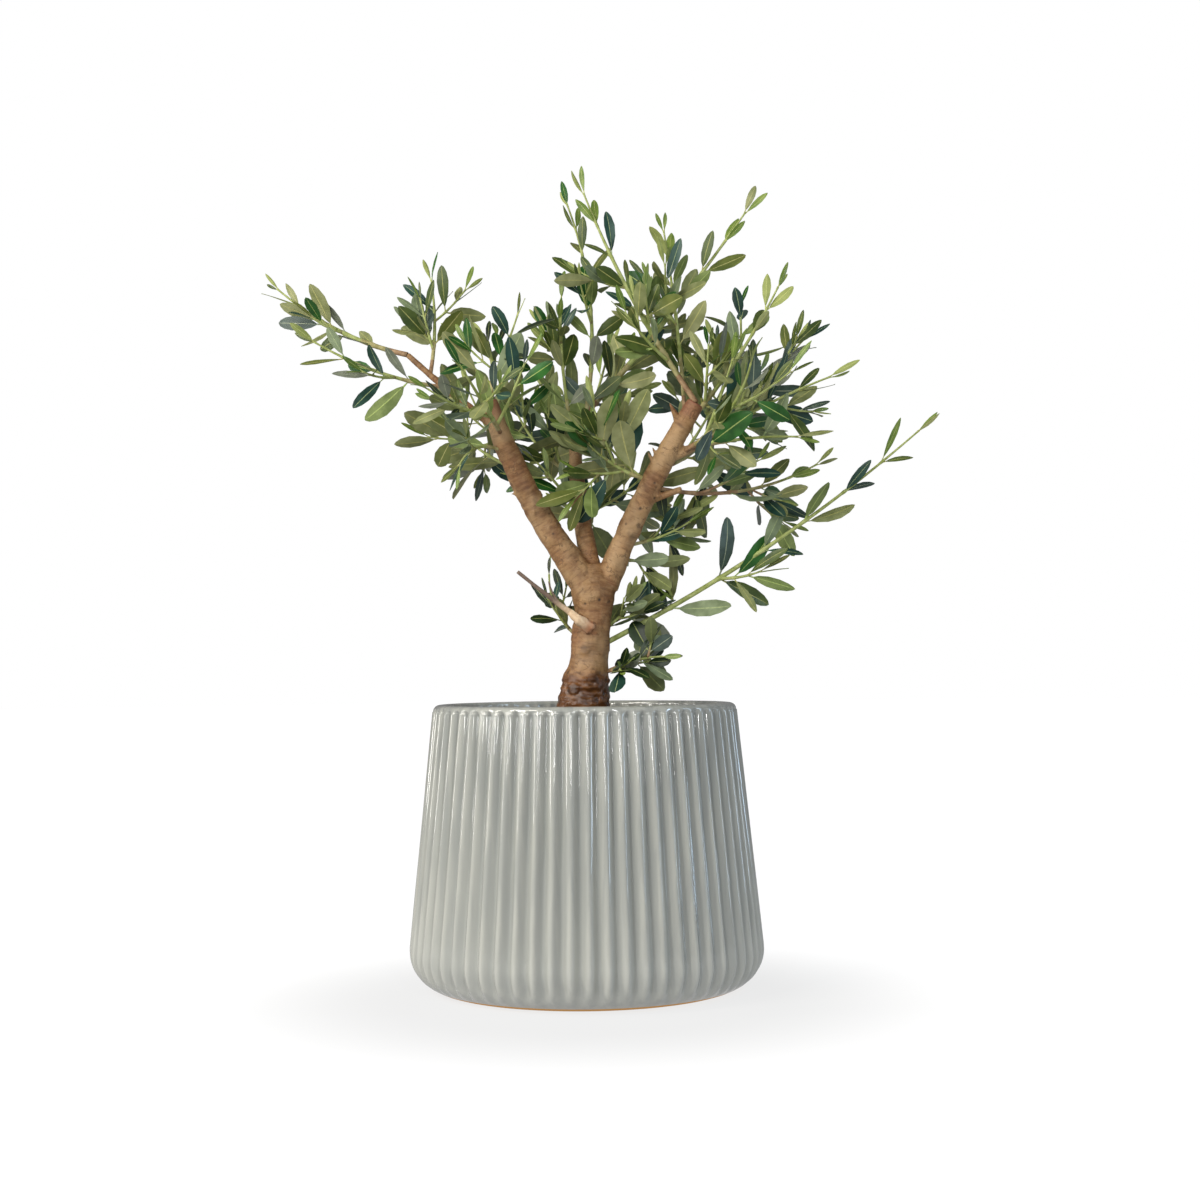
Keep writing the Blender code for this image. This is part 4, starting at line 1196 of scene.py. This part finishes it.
def leaves_on(rng, name, path, leaf, bare):
    """Crossed pairs of leaves, small and upright where the twig ends."""
    tints = SPRAYS[SPRAY_OF.get(name, "outer")]
    found = []
    turn = rng.uniform(0, 2 * math.pi)
    for t in node_places(path, leaf, bare, name):
        t = min(t, 0.995)
        turn += math.pi / 2 + rng.uniform(-0.35, 0.35)
        tangent = path.tangent(t)
        for half in (0, math.pi):
            lean = LEAF_OPEN_LOW + (LEAF_OPEN_HIGH - LEAF_OPEN_LOW) * t ** 2
            lean *= rng.uniform(0.75, 1.25)
            out = path.across(t, turn + half)
            along = (tangent * math.cos(lean) + out * math.sin(lean)).normalized()
            root = path.point(t) + out * path.radius(t) * 0.6
            away = (root - CROWN_AXIS).normalized()
            ahead = -1 if root.y < rng.uniform(-0.02, 0.12) else 1
            face = tangent * 0.4 + Vector((away.x * LIGHT_SIDE, ahead, LIGHT_UP))
            face = (face - along * face.dot(along)).normalized()
            turned = math.pi if rng.random() < SHOWS_BACK else 0.0
            face.rotate(Quaternion(along, turned + rng.uniform(-LEAF_TWIST, LEAF_TWIST)))
            size = leaf * (ROOT_LEAF - TIP_SHORTER * t ** 2.5) * rng.uniform(*LEAF_SIZES)
            shape = rng.triangular(*LEAF_SHAPE_OF.get(name, LEAF_SHAPE))
            width = size * shape * (1 - TIP_SLIMMER * t * t)
            tint = "young" if t > 0.80 and rng.random() < 0.6 else rng.choice(tints)
            found.append(Leaf(root, along, face, size, width, tint))
    return found


# Each spray's tints, dealt out by the mass: old leaves deep and blue-green, newer ones
# olive and khaki, and the tips bright. Each tint is its top, its underside and its midrib.
TINTS = {
    "deep": (("#12220E", "#213616"), ("#5C6638", "#788050"), ("#7C8846", "#98A060")),
    "teal": (("#17322A", "#2B4E41"), ("#647252", "#82906E"), ("#869868", "#A4B080")),
    "green": (("#1A4616", "#2E6624"), ("#62743A", "#7E8E52"), ("#90A654", "#ACBC70")),
    "olive": (("#36481D", "#526228"), ("#6E7646", "#8B9160"), ("#929550", "#B0AE6C")),
    "khaki": (("#56632C", "#72793B"), ("#7E8453", "#9C9F70"), ("#A5A463", "#BEBA7A")),
    "slate": (("#2D3D36", "#485A50"), ("#656B5C", "#828876"), ("#889578", "#A3A98E")),
    "young": (("#56712A", "#7C9040"), ("#7F8C48", "#9FA864"), ("#A3AC5C", "#BEC47E")),
}
SPRAYS = {
    "inner": ("deep", "teal", "olive", "deep", "green", "khaki"),
    "outer": ("olive", "teal", "green", "khaki", "olive", "slate"),
    "light": ("khaki", "olive", "green", "olive", "teal"),
    # Painted shade: the masses that hang low under the crown take the darkest tints.
    "painted_shade": ("deep", "deep", "teal", "slate", "deep"),
}
SPRAY_OF = {
    "mid_left": "inner", "mid_low": "inner", "low_fan": "painted_shade", "low_right": "painted_shade",
    "low_left": "painted_shade", "back_low": "inner", "back_mid": "inner", "hang_right": "painted_shade",
    "right_under": "inner", "left_hang": "inner", "left_low": "inner", "left_inner": "inner",
    "right_top": "light", "right_rise": "light", "top_main": "light", "mid_right": "light",
    "right_hang": "light",
}


def quad(leaf):
    """The leaf as four corners, to test what it touches."""
    side = leaf.along.cross(leaf.face) * leaf.width * 0.45
    start, middle, tip = (
        leaf.root + leaf.along * leaf.length * part for part in (LEAF_TEST_FROM, 0.5, 1.0)
    )
    return [start, middle + side, tip, middle - side]


def swung(rng, leaf):
    """The same leaf swung aside on its stalk and rolled, to make room for a neighbour."""
    along = Quaternion(leaf.face, rng.uniform(-LEAF_SWING, LEAF_SWING)) @ leaf.along
    face = Quaternion(along, rng.uniform(-LEAF_SWING, LEAF_SWING)) @ leaf.face
    return leaf._replace(along=along, face=face)


def hides_limb(middle):
    """Whether a leaf here would hang before the limbs that the grower keeps bare."""
    for name, width, (low, high) in SHOWN_LIMBS:
        path = limbs[name]
        for step in range(13):
            spot = path.point(low + (high - low) * step / 12)
            if middle.y < spot.y and math.hypot(middle.x - spot.x, middle.z - spot.z) < width:
                return True
    return False


def has_room(leaf):
    """Whether the leaf is clear of the limbs and of every leaf that grew before it."""
    corners = quad(leaf)
    middle = (corners[0] + corners[2]) / 2
    if hides_limb(middle) or not clear_of_limbs(corners, [(0, 1, 2, 3)]):
        return False
    shape = BVHTree.FromPolygons(corners, [(0, 1, 2, 3)])
    for other, reach, other_shape in grown:
        apart = (middle - other).length
        if apart < LEAF_ROOM or apart < (reach + leaf.length) / 2 and shape.overlap(other_shape):
            return False
    grown.append((middle, leaf.length, shape))
    return True


grown = []
dealt = {tint: [] for tint in TINTS}
for name, keep in crown.items():
    mass = MASSES[name]
    rng = random.Random(name + "_leaves")
    for path in keep:
        bare = BARE_STEM if path is keep[0] else BARE_TWIG
        length = mass.leaf if path is keep[0] else mass.leaf * SIDE_LEAF
        for leaf in leaves_on(rng, name, path, length, bare):
            for chance in range(LEAF_CHANCES):
                if has_room(leaf):
                    dealt[leaf.tint].append(leaf_shape(rng, leaf))
                    break
                leaf = swung(rng, leaf)

blade_faces = leaf_faces()
for tint, leaves in dealt.items():
    points = [point for blade in leaves for point in blade]
    starts = range(0, len(points), len(STATIONS) * (len(COLUMNS) + 2))
    faces = [[start + corner for corner in face] for start in starts for face, _ in blade_faces]
    mesh = bpy.data.meshes.new("leaves_" + tint)
    mesh.from_pydata(points, [], faces)
    finishes = [finish for _, finish in blade_faces] * len(leaves)
    mesh.polygons.foreach_set("material_index", finishes)
    mesh.shade_smooth()
    mesh.set_sharp_from_angle(angle=math.radians(75))
    above, below, rib = TINTS[tint]
    mesh.materials.append(living_finish("satin_leaf_top_" + tint, *above, 0.38, 70.0, 0.0002))
    mesh.materials.append(living_finish("matt_leaf_back_" + tint, *below, 0.60, 90.0, 0.0002))
    mesh.materials.append(living_finish("pale_midrib_" + tint, *rib, 0.50, 500.0, 0.0001))
    piece = add_object("leaves_" + tint, mesh)
    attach(piece, "root")
    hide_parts(*foliage_nodes)

# ----------------------------------------------------------------------------------------
# Studio. A seamless white floor with a soft shadow painted into it round the pot, soft
# daylight from high at the front left, six strip lights that draw the gloss, the one at
# the right cool and weak, and a surround that is white to the eye and dim to the object.

FLOOR_RADIUS = 12.0
# How bright the floor looks near the pot, where a soft shadow is painted, and far from it, and how much
# light it gives the object.
FLOOR_PAINTED_SHADOW, FLOOR_FAR, FLOOR_GLOW = 0.79, 1.0, 0.44
SHADE_FROM, SHADE_TO = 0.14, 0.36
SHADE_MIDDLE = (0.0, -0.06, 0.0)
# The daylight: turn from the front, height above the horizon, power, softness and colour.
SUN = (-58, 46, 0.96, 12, "#FFF8EE")
SURROUND = 0.20
# Strip lights that draw the gloss: turn from the front, distance, height, width, length,
# radiance and colour.
STRIPS = {
    "strip_key": (-38, 2.3, 1.15, 0.16, 1.2, 32.0, "#FFFBF4"),
    "strip_side": (-62, 2.2, 1.10, 0.09, 1.2, 34.0, "#FFFBF4"),
    "strip_inner": (-15, 2.5, 1.10, 0.08, 1.2, 44.0, "#FFFFFF"),
    "strip_front": (12, 2.6, 1.10, 0.10, 1.2, 46.0, "#FFFFFF"),
    "strip_left": (-86, 2.0, 0.80, 0.16, 1.2, 15.0, "#FFFDF8"),
    "strip_right": (80, 2.0, 0.70, 0.20, 1.2, 11.0, "#BFD9F2"),
}
LIGHTS_AIM = Vector((0.0, 0.0, 0.20))

bpy.ops.mesh.primitive_circle_add(
    vertices=128, radius=FLOOR_RADIUS, fill_type="NGON", location=(0, 0, -0.0002)
)
floor = bpy.context.object
floor.name = "studio_floor"
paper, tree, shader, place = new_finish("lit_white_floor")
shader.inputs["Base Color"].default_value = linear("#505050")
shader.inputs["Roughness"].default_value = 0.9
shader.inputs["Specular IOR Level"].default_value = 0.0
shader.inputs["Emission Color"].default_value = (1, 1, 1, 1)
seen = add_node(tree, "LightPath", {})["Is Camera Ray"]
# Painted shadow: to the eye the floor glows less near the pot, round SHADE_MIDDLE.
away = add_node(tree, "VectorMath", {0: place, 1: SHADE_MIDDLE}, operation="DISTANCE")["Value"]
painted_floor_shadow = {"From Min": SHADE_FROM, "From Max": SHADE_TO, "To Min": FLOOR_PAINTED_SHADOW, "To Max": FLOOR_FAR}
painted_floor_shadow = add_node(tree, "MapRange", {"Value": away, **painted_floor_shadow}, interpolation_type="SMOOTHSTEP")[0]
glow = add_node(tree, "MapRange", {"Value": seen, "To Min": FLOOR_GLOW, "To Max": painted_floor_shadow})[0]
tree.links.new(glow, shader.inputs["Emission Strength"])
floor.data.materials.append(paper)


def from_front(turn, distance, height):
    """A place round the object: turned from its front, away from its axis, above the floor."""
    turn = math.radians(turn)
    return Vector((distance * math.sin(turn), -distance * math.cos(turn), height))


turn, elevation, power, softness, colour = SUN
light = bpy.data.lights.new("daylight", "SUN")
light.energy = power
light.angle = math.radians(softness)
light.color = linear(colour)[:3]
lamp = add_object("daylight", light)
towards = from_front(turn, 1.0, math.tan(math.radians(elevation)))
lamp.rotation_euler = towards.to_track_quat("Z", "Y").to_euler()
for name, (turn, distance, height, width, length, radiance, colour) in STRIPS.items():
    light = bpy.data.lights.new(name, "AREA")
    light.shape = "RECTANGLE"
    light.size = width
    light.size_y = length
    light.energy = radiance * math.pi * width * length
    light.color = linear(colour)[:3]
    lamp = add_object(name, light)
    lamp.location = from_front(turn, distance, height)
    lamp.rotation_euler = (LIGHTS_AIM - lamp.location).to_track_quat("-Z", "Y").to_euler()

world = bpy.data.worlds.new("white_surround")
world.use_nodes = True
bpy.context.scene.world = world
tree = world.node_tree
seen = add_node(tree, "LightPath", {})["Is Camera Ray"]
level = add_node(tree, "MapRange", {"Value": seen, "To Min": SURROUND, "To Max": 1.0})[0]
tree.links.new(level, tree.nodes["Background"].inputs["Strength"])
tree.nodes["Background"].inputs["Color"].default_value = (1, 1, 1, 1)

bpy.context.scene.view_settings.view_transform = "Standard"

CAMERA_PLACE = (0.0139, -1.612, 0.2723)
CAMERA_PITCH = math.radians(90 + 1.945)
CAMERA_ROLL = math.radians(-0.562)
CAMERA_LENS = 56.65
camera = bpy.data.cameras.new("camera")
camera.lens = CAMERA_LENS
camera.sensor_width = 36.0
eye = add_object("camera", camera)
eye.location = CAMERA_PLACE
turned = Matrix.Rotation(CAMERA_PITCH, 3, "X") @ Matrix.Rotation(CAMERA_ROLL, 3, "Z")
eye.rotation_euler = turned.to_euler()
bpy.context.scene.camera = eye

bpy.context.view_layer.update()
